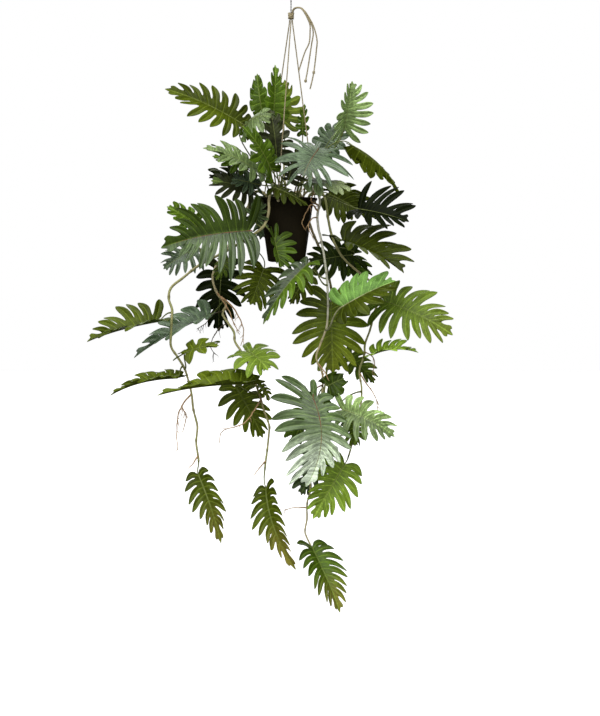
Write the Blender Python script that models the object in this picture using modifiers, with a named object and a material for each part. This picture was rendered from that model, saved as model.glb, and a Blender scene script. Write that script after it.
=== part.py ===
# Hanging pot of split-leaved philodendron.
# Metres, +Z up. The origin is where a hook bears inside the eye of the hanging wire,
# and the front of the plant faces -Y. Places below are in millimetres, from that origin.

import math

import bmesh
import bpy
from mathutils import Vector

MM = 0.001
GAP = 0.3  # clearance between pieces that touch, in millimetres

# Eye and wire
EYE_INNER_RADIUS = 8.0
EYE_WIRE_RADIUS = 1.0
WIRE_RADIUS = 0.8
WIRE_TWIST_RADIUS = 1.1
WIRE_TURNS = 1.5

# Knot and cords
KNOT_TOP = -54.0
KNOT_HEIGHT = 16.0
KNOT_RADIUS = 7.0
CORD_RADIUS = 1.4
TAIL_RADIUS = 1.6
END_KNOT_RADIUS = 4.0

# Pot
POT_X = -10.0
RIM_Z = -462.0
POT_HEIGHT = 141.0
LIP_RADIUS = 68.0
LIP_THICKNESS = 3.0
POT_TOP_RADIUS = 59.5
POT_BASE_RADIUS = 41.0
POT_WALL = 2.2
CORD_HOLE_ANGLES = (140.0, 254.0, 14.0)
CORD_HOLE_AT_RADIUS = 64.0
CORD_HOLE_RADIUS = 2.1
FILL_BELOW_RIM = 9.0
STEM_HOLE_DEPTH = 30.0

# Leaves and stems
BLADE_THICKNESS = 0.8
PETIOLE_RADIUS = 1.9
PETIOLE_TIP_RADIUS = 1.3
SMALL_PETIOLE_RADIUS = 1.5
SMALL_PETIOLE_TIP_RADIUS = 1.1
PETIOLE_INTO_BLADE = 5.0
PETIOLE_EXTRA = 0.15  # for the tilt of its end face beside a stem
ROOT_SHARE = 0.70  # the last lobe leaves the midrib at this share of its length
ROOT_PACE = 1.2
DOME = 0.15
END_SAG = 0.35
SLIM = 0.85  # a lobe's width past the cuts
SWAY = 0.14  # lobes rise and fall in turn, by this share of the half width

# What a leaf has unless its own line says otherwise. A pair is for its left and right half, seen
# from its base. Lobes point from first to last, in degrees from the tip, and cuts end that far out.
LEAF_SHAPE = {
    "arch": 0.06,
    "bow": 0.0,
    "fold": (16.0, 12.0),
    "droop": 0.14,
    "first": 126.0,
    "last": 40.0,
    "taper": 0.25,
    "cut": 0.32,
    "end_cut": 0.50,
}

# Stems
VINE_STEP = 26.0
ROOT_STEP = 40.0
ROOT_TIP_RADIUS = 0.6

COLOURS = {
    "dark": (0.018, 0.035, 0.016),
    "green": (0.055, 0.12, 0.028),
    "olive": (0.085, 0.12, 0.022),
    "bright": (0.12, 0.26, 0.055),
    "silver": (0.13, 0.2, 0.14),
    "vine": (0.33, 0.28, 0.16),
    "jute": (0.36, 0.26, 0.15),
    "wire": (0.4, 0.4, 0.4),
    "pot": (0.014, 0.010, 0.009),
    "fill": (0.035, 0.022, 0.014),
}


def vec(place):
    """A place in millimetres as a vector in metres"""
    return Vector(place) * MM


def polar(distance, degrees):
    return Vector((math.cos(math.radians(degrees)), math.sin(math.radians(degrees)))) * distance


# Scene


def clear_scene():
    for thing in list(bpy.data.objects):
        bpy.data.objects.remove(thing, do_unlink=True)


def new_collection(name):
    found = bpy.data.collections.get(name) or bpy.data.collections.new(name)
    if name not in bpy.context.scene.collection.children:
        bpy.context.scene.collection.children.link(found)
    return found


def material(name):
    found = bpy.data.materials.get(name)
    if found:
        return found
    made = bpy.data.materials.new(name)
    made.use_nodes = True
    shader = made.node_tree.nodes["Principled BSDF"]
    shader.inputs["Base Color"].default_value = (*COLOURS[name], 1.0)
    shader.inputs["Roughness"].default_value = 0.3 if name == "wire" else 0.55
    shader.inputs["Metallic"].default_value = 1.0 if name == "wire" else 0.0
    made.diffuse_color = (*COLOURS[name], 1.0)
    return made


def add_object(name, data, finish):
    made = bpy.data.objects.new(name, data)
    data.materials.clear()
    data.materials.append(material(finish))
    PLANT.objects.link(made)
    return made


def mesh_from(bm, name, finish):
    mesh = bpy.data.meshes.new(name)
    bm.to_mesh(mesh)
    bm.free()
    return add_object(name, mesh, finish)


def baked(thing):
    """The object with its modifiers, or its curve's bevel, made into its mesh"""
    bpy.context.view_layer.update()
    evaluated = thing.evaluated_get(bpy.context.evaluated_depsgraph_get())
    mesh = bpy.data.meshes.new_from_object(evaluated)
    bm = bmesh.new()
    bm.from_mesh(mesh)
    bmesh.ops.remove_doubles(bm, verts=bm.verts, dist=0.000001)
    bm.to_mesh(mesh)
    bm.free()
    made = bpy.data.objects.new(thing.name, mesh)
    made.matrix_world = thing.matrix_world
    name = thing.name
    PLANT.objects.link(made)
    bpy.data.objects.remove(thing, do_unlink=True)
    made.name = name
    return made


def fuse(name, pieces, operation="UNION"):
    """All pieces joined into the first one, or the rest cut from it"""
    body = pieces[0]
    group = new_collection("joining")
    for piece in pieces[1:]:
        PLANT.objects.unlink(piece)
        group.objects.link(piece)
        piece.display_type = "WIRE"
        piece.hide_render = True
    join = body.modifiers.new("join", "BOOLEAN")
    join.operation = operation
    join.operand_type = "COLLECTION"
    join.collection = group
    join.solver = "EXACT"
    body = baked(body)
    for piece in list(group.objects):
        bpy.data.objects.remove(piece, do_unlink=True)
    bpy.data.collections.remove(group)
    body.name = name
    return body


# Curves


def smooth_route(places, step):
    """Points about a step apart on a smooth curve through the places, in millimetres"""
    places = [Vector(place) for place in places]
    route = []
    for index in range(len(places) - 1):
        start, end = places[index], places[index + 1]
        before = places[max(index - 1, 0)]
        after = places[min(index + 2, len(places) - 1)]
        count = max(1, round((end - start).length / step))
        for part in range(count):
            t = part / count
            pull_in = (end - before) * 0.5
            pull_out = (after - start) * 0.5
            route.append(
                start * (2 * t**3 - 3 * t**2 + 1)
                + pull_in * (t**3 - 2 * t**2 + t)
                + end * (3 * t**2 - 2 * t**3)
                + pull_out * (t**3 - t**2)
            )
    route.append(places[-1])
    return route


def tube(name, route, radius, finish, sides=6, end_radius=None):
    """A capped round tube along the route; radius and route in millimetres"""
    curve = bpy.data.curves.new(name, "CURVE")
    curve.dimensions = "3D"
    curve.bevel_depth = radius * MM
    curve.bevel_resolution = (sides - 4) // 2
    curve.use_fill_caps = True
    spline = curve.splines.new("POLY")
    spline.points.add(len(route) - 1)
    for index, place in enumerate(route):
        spline.points[index].co = (*vec(place), 1.0)
        share = index / (len(route) - 1)
        spline.points[index].radius = 1.0 + ((end_radius or radius) / radius - 1.0) * share
    return add_object(name, curve, finish)


def turned(name, profile, steps, finish, centre=(0.0, 0.0)):
    """A profile of (radius, height) in millimetres, spun about an upright axis"""
    bm = bmesh.new()
    verts = [bm.verts.new(vec((radius, 0.0, height))) for radius, height in profile]
    for first, second in zip(verts, verts[1:]):
        bm.edges.new((first, second))
    made = mesh_from(bm, name, finish)
    made.location = vec((*centre, 0.0))
    spin = made.modifiers.new("spin", "SCREW")
    spin.steps = steps
    spin.render_steps = steps
    spin.use_merge_vertices = True
    spin.merge_threshold = 0.00001
    spin.use_normal_calculate = False
    return baked(made)


def rod(name, place, radius, height, sides):
    """An upright cutter"""
    bm = bmesh.new()
    bmesh.ops.create_cone(
        bm, cap_ends=True, segments=sides, radius1=radius * MM, radius2=radius * MM, depth=height * MM
    )
    bmesh.ops.translate(bm, verts=bm.verts, vec=vec(place))
    return mesh_from(bm, name, "pot")


def ball(name, place, radius, finish):
    bm = bmesh.new()
    bmesh.ops.create_uvsphere(bm, u_segments=6, v_segments=4, radius=radius * MM)
    bmesh.ops.translate(bm, verts=bm.verts, vec=vec(place))
    return mesh_from(bm, name, finish)


# Leaves


def paired(value):
    """The value for both halves, or one for each"""
    return value if isinstance(value, tuple) else (value, value)


class Blade:
    """A split leaf, laid out flat from its base towards its tip, then folded, arched and left to droop"""

    def __init__(self, base, tip, face, width, lobes, shape):
        shape = dict(LEAF_SHAPE, **shape)
        self.base = Vector(base)
        chord = Vector(tip) - self.base
        self.length = chord.length
        self.along = chord.normalized()
        self.side = Vector(face).cross(self.along).normalized()
        self.up = self.along.cross(self.side)
        self.half = {side: wide / 2 for side, wide in zip((1, -1), paired(width))}
        self.fold = {side: math.radians(angle) for side, angle in zip((1, -1), shape["fold"])}
        self.lobes = lobes
        self.arch, self.bow, self.droop = shape["arch"], shape["bow"], shape["droop"]
        self.first, self.last, self.taper = shape["first"], shape["last"], shape["taper"]
        self.cut = shape["cut"]
        self.end_cut = max(self.cut, shape["end_cut"])
        self.phase = sum(self.base)

    def angle(self, lobe):
        return self.first + (self.last - self.first) * (lobe / (self.lobes - 1)) ** 0.8

    def reach(self, lobe, side):
        fullest = 0.72 + 0.38 * math.sin(math.pi * (lobe + 1) / (self.lobes + 1))
        return self.half[side] * fullest * (1.0 - self.taper * (lobe / (self.lobes - 1)) ** 2)

    def root(self, lobe):
        return Vector((ROOT_SHARE * self.length * (lobe / self.lobes) ** ROOT_PACE, 0.0))

    def sinus(self, cut, side):
        """The end of the cut before this lobe; the first and last bound the outer lobes"""
        depth = self.cut + (self.end_cut - self.cut) * (cut / self.lobes) ** 3
        if cut == 0:
            return polar(depth * self.reach(0, side), min(self.angle(0) + 22.0, 176.0))
        if cut == self.lobes:
            last = self.lobes - 1
            return self.root(cut) + polar(depth * self.reach(last, side), self.angle(last) - 8.0)
        mean_angle = (self.angle(cut - 1) + self.angle(cut)) / 2
        mean_reach = (self.reach(cut - 1, side) + self.reach(cut, side)) / 2
        return self.root(cut) + polar(depth * mean_reach, mean_angle)

    def lobe_point(self, lobe, side, across, out):
        """across is 0 to 1 over the lobe, out is 0 at the midrib, 1 at the cuts, 2 at the tip"""
        near, far = self.sinus(lobe, side), self.sinus(lobe + 1, side)
        if out <= 1.0:
            first = self.root(lobe).lerp(near, out)
            return first.lerp(self.root(lobe + 1).lerp(far, out), across)
        share = out - 1.0
        start = (near + far) / 2
        origin = (self.root(lobe) + self.root(lobe + 1)) / 2
        reach = polar(self.reach(lobe, side), self.angle(lobe))
        tip = origin + reach + Vector((0.05 * self.length, 0.0))
        bend = start + polar((tip - start).length * 0.5, self.angle(lobe))
        centre = start.lerp(bend, share).lerp(bend.lerp(tip, share), share)
        ending = max(0.0, share - 0.42) / 0.58
        narrow = SLIM * (1.0 - ending**1.9) ** 0.72
        return centre + (far - near) * (across - 0.5) * narrow

    def tip_point(self, forward, out, side):
        """The broad end: forward is 0 at its cut and 1 at the leaf's tip"""
        edge = self.root(self.lobes).lerp(self.sinus(self.lobes, side), out)
        wide = 0.15 * self.half[side] + 0.03 * self.length
        end = self.length - (self.length - edge.x) * 0.3 * out
        return Vector((edge.x + (end - edge.x) * forward, edge.y + (wide * out - edge.y) * forward))

    def lift(self, lobe, side, out):
        """Lobes rise and fall in turn past the cuts"""
        sway = math.sin(2.1 * lobe + 1.3 * side + self.phase)
        return max(0.0, out - 1.0) * self.half[side] * SWAY * sway

    def bent(self, flat, side, lift):
        """The flat point on this side of the midrib, on the folded, arched and drooping leaf"""
        share = flat.x / self.length
        hump = 4.0 * share * (1.0 - share)
        normal = (self.up - self.along * self.arch * 4.0 * (1.0 - 2.0 * share)).normalized()
        fold = self.fold[side]
        height = flat.y * math.sin(fold) - DOME * flat.y**2 / self.half[side] + lift
        place = self.base + self.along * flat.x + self.up * self.arch * self.length * hump
        place += self.side * (self.bow * self.length * hump + side * flat.y * math.cos(fold))
        past = max(0.0, flat.x - 0.5 * self.length)
        sag = self.droop * (flat.y**2 / self.half[side] + END_SAG * past**2 / self.length)
        return (place + normal * height - Vector((0.0, 0.0, sag))) * MM


LOBE_ROWS = (0.0, 1.0, 1.88)
TIP_ROWS = (0.0, 1.0)
PETIOLE_SAMPLES = (0.0, 0.1, 0.5, 1.0)
SMALL_PETIOLE_SAMPLES = (0.0, 0.5, 1.0)


def blade_mesh(name, blade, finish):
    bm = bmesh.new()
    for side in (1, -1):
        for lobe in range(blade.lobes):
            rows = len(LOBE_ROWS) - 1
            grid = bmesh.ops.create_grid(bm, x_segments=1, y_segments=rows, size=1.0)["verts"]
            for vert in grid:
                out = LOBE_ROWS[round((vert.co.y + 1.0) / 2.0 * rows)]
                flat = blade.lobe_point(lobe, side, (vert.co.x + 1.0) / 2.0, out)
                vert.co = blade.bent(flat, side, blade.lift(lobe, side, out))
        rows = len(TIP_ROWS) - 1
        grid = bmesh.ops.create_grid(bm, x_segments=1, y_segments=rows, size=1.0)["verts"]
        for vert in grid:
            forward = TIP_ROWS[round((vert.co.y + 1.0) / 2.0 * rows)]
            flat = blade.tip_point(forward, (vert.co.x + 1.0) / 2.0, side)
            vert.co = blade.bent(flat, side, 0.0)
    bmesh.ops.remove_doubles(bm, verts=bm.verts, dist=0.00001)
    bmesh.ops.recalc_face_normals(bm, faces=bm.faces)
    bmesh.ops.triangulate(bm, faces=bm.faces)
    made = mesh_from(bm, name, finish)
    thick = made.modifiers.new("thickness", "SOLIDIFY")
    thick.thickness = BLADE_THICKNESS * MM
    thick.offset = 0.0
    return baked(made)


def petiole_route(start, lead, blade, samples=PETIOLE_SAMPLES):
    """From its start, leaving along the lead, into the base of the blade"""
    length = (blade.base - start).length
    first = start + lead * length * 0.4
    second = blade.base - blade.along * length * 0.35
    route = []
    for t in samples:
        inner = first.lerp(second, t)
        route.append(start.lerp(first, t).lerp(inner, t).lerp(inner.lerp(second.lerp(blade.base, t), t), t))
    route.append(blade.base + blade.along * PETIOLE_INTO_BLADE + blade.up * 0.2)
    return route


def leaf(name, root, base, tip, face, width, lobes, finish, **shape):
    """Blade and petiole in one; the root is ("fill", x, y) or (stem, height) on a named stem"""
    blade = Blade(base, tip, face, width, lobes, shape)
    if root[0] == "fill":
        bottom = Vector((POT_X + root[1], root[2], RIM_Z - FILL_BELOW_RIM - STEM_HOLE_DEPTH + GAP))
        STEM_HOLES.append((bottom.x, bottom.y, PETIOLE_RADIUS))
        top = Vector((bottom.x, bottom.y, RIM_Z - FILL_BELOW_RIM + 2.0))
        route = [bottom, *petiole_route(top, Vector((0.0, 0.0, 1.0)), blade)]
    else:
        at, direction, stem_radius = on_vine(*root)
        reach = blade.base - at
        lead = (reach - direction * reach.dot(direction)).normalized()
        stand_off = stem_radius + GAP + PETIOLE_EXTRA
        if root[1] == "end":
            lead, stand_off = direction, GAP
        route = petiole_route(at + lead * stand_off, lead, blade)
    stalk = tube(name + "_stalk", route, PETIOLE_RADIUS, finish, sides=4, end_radius=PETIOLE_TIP_RADIUS)
    fuse(name, [blade_mesh(name, blade, finish), baked(stalk)])


# Stems. Each route starts just above its hole in the filling.
VINES = {
    "stem_left": {
        "radius": 3.4,
        "route": (
            (-36, -38, -466), (-37, -44, -453), (-41, -58, -446), (-45, -72, -453), (-48, -80, -472),
            (-48, -82, -495), (-57, -84, -524), (-76, -82, -541), (-134, -64, -576), (-205, -52, -614),
            (-235, -52, -638), (-261, -56, -660), (-267, -60, -684), (-260, -62, -708),
            (-262, -62, -761), (-262, -58, -788), (-233, -48, -838), (-218, -46, -891),
            (-213, -46, -928), (-205, -48, -961), (-207, -46, -1003), (-202, -46, -1040),
        ),
    },
    "stem_left_centre": {
        "radius": 3.2,
        "route": (
            (-54, 12, -466), (-58, 13, -453), (-70, 16, -446), (-84, 20, -453), (-92, 24, -474),
            (-110, 22, -520), (-140, 14, -570), (-168, 2, -618), (-172, -4, -642), (-162, -10, -673),
            (-143, -14, -697), (-150, -14, -717), (-125, -16, -757), (-123, -17, -777),
            (-99, -20, -816), (-78, -20, -867), (-60, -20, -926), (-48, -22, -961),
            (-51, -24, -1003), (-57, -24, -1056),
        ),
    },
    "stem_right_centre": {
        "radius": 2.8,
        "route": (
            (26, -30, -466), (31, -34, -453), (45, -44, -446), (58, -52, -453), (63, -56, -472),
            (58, -58, -502), (60, -60, -530), (70, -60, -576), (79, -60, -645), (81, -60, -702),
            (77, -60, -750), (64, -58, -785), (55, -56, -814), (68, -50, -845), (68, -46, -891),
            (56, -40, -940), (44, -38, -994), (42, -38, -1050), (42, -38, -1107), (35, -38, -1133),
            (35, -38, -1168), (31, -38, -1197), (44, -38, -1226),
        ),
    },
    "stem_right": {
        "radius": 2.9,
        "route": (
            (38, 8, -466), (43, 8, -453), (56, 4, -446), (70, 0, -453), (77, -4, -474),
            (82, -8, -510), (92, -8, -552), (112, 0, -590), (150, 6, -626), (184, 0, -652),
            (199, -8, -676), (186, -15, -706), (174, -18, -750), (163, -18, -783), (161, -18, -807),
            (150, -18, -840), (155, -18, -880), (152, -20, -930), (140, -24, -980), (126, -28, -1030),
        ),
    },
    "stem_back": {
        "radius": 3.2,
        "route": (
            (8, 40, -466), (9, 46, -453), (14, 62, -446), (21, 76, -453), (28, 84, -478),
            (50, 88, -540), (78, 88, -610), (92, 86, -690), (88, 84, -770), (78, 80, -850),
            (70, 76, -920),
        ),
    },
    "shoot_front": {
        "radius": 2.8,
        "route": ((-8, -26, -466), (-9, -30, -458), (-11, -38, -446), (-12, -44, -430)),
    },
    "shoot_back_left": {
        "radius": 2.8,
        "route": ((-34, 24, -466), (-38, 30, -440), (-46, 46, -400), (-52, 60, -370)),
    },
    "shoot_back_middle": {
        "radius": 2.8,
        "route": ((-12, 34, -466), (-13, 40, -440), (-15, 54, -400), (-16, 66, -360)),
    },
    "shoot_back_right": {
        "radius": 2.8,
        "route": ((18, 26, -466), (22, 32, -440), (32, 46, -400), (42, 60, -370)),
    },
}
VINE_HOLE_EXTRA = 0.4
VINE_TAPER = 0.66


def vine_route(vine):
    """The stem's route, with its straight foot in the hole"""
    route = smooth_route(VINES[vine]["route"], VINE_STEP)
    foot = Vector((route[0].x, route[0].y, RIM_Z - FILL_BELOW_RIM - STEM_HOLE_DEPTH + GAP))
    return [foot, *route]


def on_vine(vine, height):
    """Place, direction and radius where the stem last passes this height, or at its end"""
    route = vine_route(vine)
    radius = VINES[vine]["radius"]
    if height == "end":
        return route[-1], (route[-1] - route[-2]).normalized(), radius * VINE_TAPER
    for index in range(len(route) - 2, -1, -1):
        first, second = route[index], route[index + 1]
        if min(first.z, second.z) <= height <= max(first.z, second.z):
            share = (first.z - height) / (first.z - second.z)
            along = (index + share) / (len(route) - 1)
            here = radius * (1.0 + (VINE_TAPER - 1.0) * along)
            return first.lerp(second, share), (second - first).normalized(), here
    raise ValueError(f"{vine} doesn't pass {height}")


def root_piece(name, radius, places):
    route = smooth_route(places, ROOT_STEP)
    return baked(tube(name, route, radius, "vine", sides=4, end_radius=ROOT_TIP_RADIUS))


def stem(vine, roots=(), small_leaves=()):
    """A stem in one body with its aerial roots and smallest leaves"""
    radius = VINES[vine]["radius"]
    route = vine_route(vine)
    STEM_HOLES.append((route[0].x, route[0].y, radius + VINE_HOLE_EXTRA))
    pieces = [baked(tube(vine, route, radius, "vine", sides=6, end_radius=radius * VINE_TAPER))]
    for index, (thick, *places) in enumerate(roots):
        pieces.append(root_piece(f"{vine}_root_{index}", thick, places))
    for index, settings in enumerate(small_leaves):
        pieces += small_leaf(f"{vine}_small_{index}", vine, **settings)
    fuse(vine, pieces)


def small_leaf(name, vine, height, base, tip, face, width, lobes, **shape):
    """A leaf whose petiole starts inside the stem, to be joined to it"""
    blade = Blade(base, tip, face, width, lobes, shape)
    start, direction, _ = on_vine(vine, height)
    reach = blade.base - start
    lead = (reach - direction * reach.dot(direction)).normalized()
    route = petiole_route(start, lead, blade, SMALL_PETIOLE_SAMPLES)
    stalk = tube(
        name + "_stalk", route, SMALL_PETIOLE_RADIUS, "vine", sides=4, end_radius=SMALL_PETIOLE_TIP_RADIUS
    )
    return [blade_mesh(name, blade, "vine"), baked(stalk)]


# Pot, filling, cords and wire


def hole_places():
    return [
        (Vector((POT_X, 0.0)) + polar(CORD_HOLE_AT_RADIUS, angle)).to_3d() for angle in CORD_HOLE_ANGLES
    ]


def pot():
    floor = RIM_Z - POT_HEIGHT
    lip_under = RIM_Z - LIP_THICKNESS
    inner_top, inner_base = POT_TOP_RADIUS - POT_WALL, POT_BASE_RADIUS - POT_WALL
    profile = (
        (0.0, floor + POT_WALL),
        (inner_base - 8.0, floor + POT_WALL),
        (inner_base, floor + 14.0),
        (inner_top, RIM_Z - 12.0),
        (inner_top, RIM_Z),
        (LIP_RADIUS, RIM_Z),
        (LIP_RADIUS, lip_under),
        (POT_TOP_RADIUS, lip_under),
        (POT_BASE_RADIUS + 5.0, floor + 30.0),
        (POT_BASE_RADIUS, floor + 12.0),
        (POT_BASE_RADIUS - 9.0, floor),
        (0.0, floor),
    )
    body = turned("pot", profile, 18, "pot", centre=(POT_X, 0.0))
    cutters = [
        rod(f"hole_{index}", (place.x, place.y, RIM_Z - LIP_THICKNESS / 2), CORD_HOLE_RADIUS, 10.0, 8)
        for index, place in enumerate(hole_places())
    ]
    fuse("pot", [body, *cutters], "DIFFERENCE").data.shade_smooth()


def filling():
    floor = RIM_Z - POT_HEIGHT + POT_WALL + GAP
    inner_top = POT_TOP_RADIUS - POT_WALL - GAP
    inner_base = POT_BASE_RADIUS - POT_WALL - GAP
    top = RIM_Z - FILL_BELOW_RIM
    profile = (
        (0.0, top + 1.5),
        (inner_top - 1.4, top - 1.0),
        (inner_base - 0.6, floor + 14.0),
        (inner_base - 9.0, floor),
        (0.0, floor),
    )
    body = turned("filling", profile, 12, "fill", centre=(POT_X, 0.0))
    middle = top - STEM_HOLE_DEPTH / 2
    cutters = [
        rod(f"stem_hole_{index}", (x, y, middle + 10.0), radius + 0.9, STEM_HOLE_DEPTH + 20.0, 4)
        for index, (x, y, radius) in enumerate(STEM_HOLES)
    ]
    fuse("filling", [body, *cutters], "DIFFERENCE")


def hanging_wire():
    """The eye, and the wire that is doubled and twisted from it down into the knot"""
    bpy.ops.mesh.primitive_torus_add(
        major_segments=16,
        minor_segments=6,
        major_radius=(EYE_INNER_RADIUS + EYE_WIRE_RADIUS) * MM,
        minor_radius=EYE_WIRE_RADIUS * MM,
        location=vec((0.0, 0.0, -EYE_INNER_RADIUS)),
        rotation=(math.pi / 2, 0.0, 0.0),
    )
    eye = bpy.context.object
    for group in list(eye.users_collection):
        group.objects.unlink(eye)
    PLANT.objects.link(eye)
    eye.name = "hanging_wire"
    eye.data.materials.append(material("wire"))
    top = -2.0 * EYE_INNER_RADIUS - EYE_WIRE_RADIUS
    bottom = KNOT_TOP - 5.5
    strand = []
    for part in range(8):
        share = part / 7
        turn = 2 * math.pi * WIRE_TURNS * share
        x, y = WIRE_TWIST_RADIUS * math.cos(turn), WIRE_TWIST_RADIUS * math.sin(turn)
        strand.append(Vector((x, y, top + (bottom - top) * share)))
    loop_end = Vector((0.0, 0.0, KNOT_TOP - 7.0 + GAP + WIRE_RADIUS))
    back = [Vector((-place.x, -place.y, place.z)) for place in reversed(strand)]
    wire = baked(tube("strand", [*strand, loop_end, *back], WIRE_RADIUS, "wire", sides=4))
    fuse("hanging_wire", [baked(eye), wire])


def knot():
    """Jute wound in three turns round the cords, with the wire's loop in its top"""
    hollow = WIRE_TWIST_RADIUS + WIRE_RADIUS + 0.5
    bottom = KNOT_TOP - KNOT_HEIGHT
    profile = [(0.0, KNOT_TOP - 7.0), (hollow, KNOT_TOP - 7.0), (hollow, KNOT_TOP), (6.2, KNOT_TOP)]
    for turn in range(3):
        crest = KNOT_TOP - 3.2 - 4.2 * turn
        profile += [(KNOT_RADIUS, crest), (KNOT_RADIUS - 0.9, crest - 2.1)]
    profile += [(5.9, bottom), (0.0, bottom)]
    turned("cord_knot", profile, 8, "jute").data.shade_smooth()


CORD_STARTS = ((-3.2, 1.8), (0.0, -3.2), (3.2, 1.8))
CORD_NAMES = ("hanger_cord_left", "hanger_cord_front", "hanger_cord_right")


def hanger_cords():
    """Three taut cords, each through its hole in the lip to a stop knot under it"""
    top = KNOT_TOP - KNOT_HEIGHT - GAP
    for name, start, hole in zip(CORD_NAMES, CORD_STARTS, hole_places()):
        knot_place = Vector((hole.x, hole.y, RIM_Z - LIP_THICKNESS - GAP - END_KNOT_RADIUS))
        places = [
            (*start, top),
            (*start, top - 5.0),
            (hole.x, hole.y, RIM_Z + 6.0),
            tuple(knot_place),
        ]
        first, last = Vector(places[1]), Vector(places[2])
        straight = [first.lerp(last, part / 4) for part in range(5)]
        cord = baked(tube(name, [places[0], *straight, places[3]], CORD_RADIUS, "jute", sides=8))
        fuse(name, [cord, ball(name + "_knot", knot_place, END_KNOT_RADIUS, "jute")])


TAILS = {
    "cord_tail_short": (
        ((3.1, -3.5, -53.7), (3.4, -3.6, -50), (7.2, -3.9, -45), (17, -4.0, -43.4),
         (27, -4.0, -50.5), (40.5, -4.4, -77), (42, -4.8, -95), (40, -5.2, -121),
         (30, -5.6, -143), (17, -6.0, -183)),
        None,
    ),
    "cord_tail_middle": (
        ((4.7, 0.0, -53.7), (5.0, 0.0, -50), (8.4, 0.0, -45.4), (18, 0.0, -43.6),
         (28.5, 0.0, -50.5), (44, 0.0, -78), (49, -0.2, -99), (45, -0.4, -126),
         (37, -0.8, -178), (32, -1.0, -205)),
        (32, -1.0, -205),
    ),
    "cord_tail_long": (
        ((3.1, 3.5, -53.7), (3.4, 3.6, -50), (7.2, 3.9, -44.4), (17.5, 4.0, -42.2),
         (29.5, 4.0, -49.5), (48, 4.6, -80), (57, 5.2, -112), (56, 5.2, -136),
         (50, 4.8, -186), (42, 4.4, -222)),
        (50, 4.8, -186),
    ),
}
TAIL_STEP = 34.0
TAIL_KNOT_RADIUS = 2.8


def tails():
    for name, (places, knot_place) in TAILS.items():
        cord = baked(tube(name, smooth_route(places, TAIL_STEP), TAIL_RADIUS, "jute", sides=8))
        if knot_place:
            fuse(name, [cord, ball(name + "_knot", knot_place, TAIL_KNOT_RADIUS, "jute")])


# Foliage. Base is where the petiole meets the blade, and face is where its upper side looks.


def crown_leaves():
    leaf("crown_leaf_01", ("fill", -22, -8), (-109, -44, -300), (-275, -70, -225),
         (0.15, -0.85, 0.5), 122, lobes=5, fold=(22, 8), droop=0.1, cut=0.3, finish="olive")
    leaf("crown_leaf_02", ("fill", -6, -12), (-40, 10, -292), (-35, 2, -167),
         (0.25, -0.95, 0.05), 70, lobes=3, fold=(40, 6), cut=0.5, finish="green")
    leaf("crown_leaf_03", ("fill", -14, 6), (-64, 46, -270), (-75, 58, -183),
         (-0.3, -0.9, 0.2), 46, lobes=3, cut=0.7, finish="green")
    leaf("crown_leaf_04", ("fill", -34, -26), (-96, -100, -306), (-43, -128, -291),
         (0, -0.5, 0.87), 90, lobes=3, arch=0.16, fold=(6, -18), cut=0.6, finish="silver")
    leaf("crown_leaf_05", ("fill", -2, -44), (-43, -114, -405), (-104, -172, -312),
         (0.25, -0.8, 0.5), (92, 74), lobes=4, fold=(22, 12), cut=0.45, finish="green")
    leaf("crown_leaf_06", ("fill", -14, -42), (-63, -84, -413), (-191, -124, -356),
         (0, -0.5, 0.87), 110, lobes=4, fold=(14, 24), droop=0.2, finish="silver")
    leaf("crown_leaf_07", ("fill", -42, -14), (-85, -34, -446), (-175, -50, -425),
         (-0.1, -0.85, 0.5), 110, lobes=4, fold=(22, 10), finish="dark")
    leaf("crown_leaf_08", ("fill", 14, -16), (57, -92, -363), (26, -150, -420),
         (0.05, -0.78, 0.62), 172, lobes=5, arch=0.09, fold=(4, 8), droop=0.1, first=168, last=30,
         cut=0.36, end_cut=0.42, finish="silver")
    leaf("crown_leaf_09", ("fill", 22, 2), (75, 50, -350), (113, 54, -297),
         (-0.2, -0.9, 0.3), 80, lobes=3, cut=0.55, finish="silver")
    leaf("crown_leaf_11", ("fill", 24, 14), (117, 16, -307), (134, -22, -204),
         (0.15, -0.95, 0.25), 116, lobes=4, fold=(60, 4), droop=0.2, finish="silver")
    leaf("crown_leaf_12", ("fill", 36, -6), (134, -2, -346), (242, -14, -454),
         (0.35, -0.8, 0.5), 66, lobes=4, arch=0.13, fold=(-48, -74), cut=0.75, finish="olive")
    leaf("crown_leaf_13", ("fill", 46, -14), (147, -54, -488), (257, -96, -517),
         (0.05, -0.92, 0.38), (168, 150), lobes=4, fold=(0, 46), droop=0.05, first=94, last=46, cut=0.24,
         end_cut=0.3, finish="dark")
    leaf("crown_leaf_14", ("fill", 22, -36), (42, -98, -429), (133, -84, -443),
         (0, -0.6, 0.8), (64, 88), lobes=3, fold=(-10, 20), droop=0.3, first=112, cut=0.5,
         finish="silver")
    leaf("crown_leaf_15", ("fill", 42, 26), (84, 28, -452), (159, 34, -494),
         (0, -0.9, 0.4), 86, lobes=4, fold=(36, 6), first=100, cut=0.55, finish="olive")
    leaf("crown_leaf_39", ("stem_left_centre", -535), (-207, 10, -525), (-273, -6, -480),
         (0.1, -0.85, 0.5), 74, lobes=3, fold=(20, 6), cut=0.55, finish="green")


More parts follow.
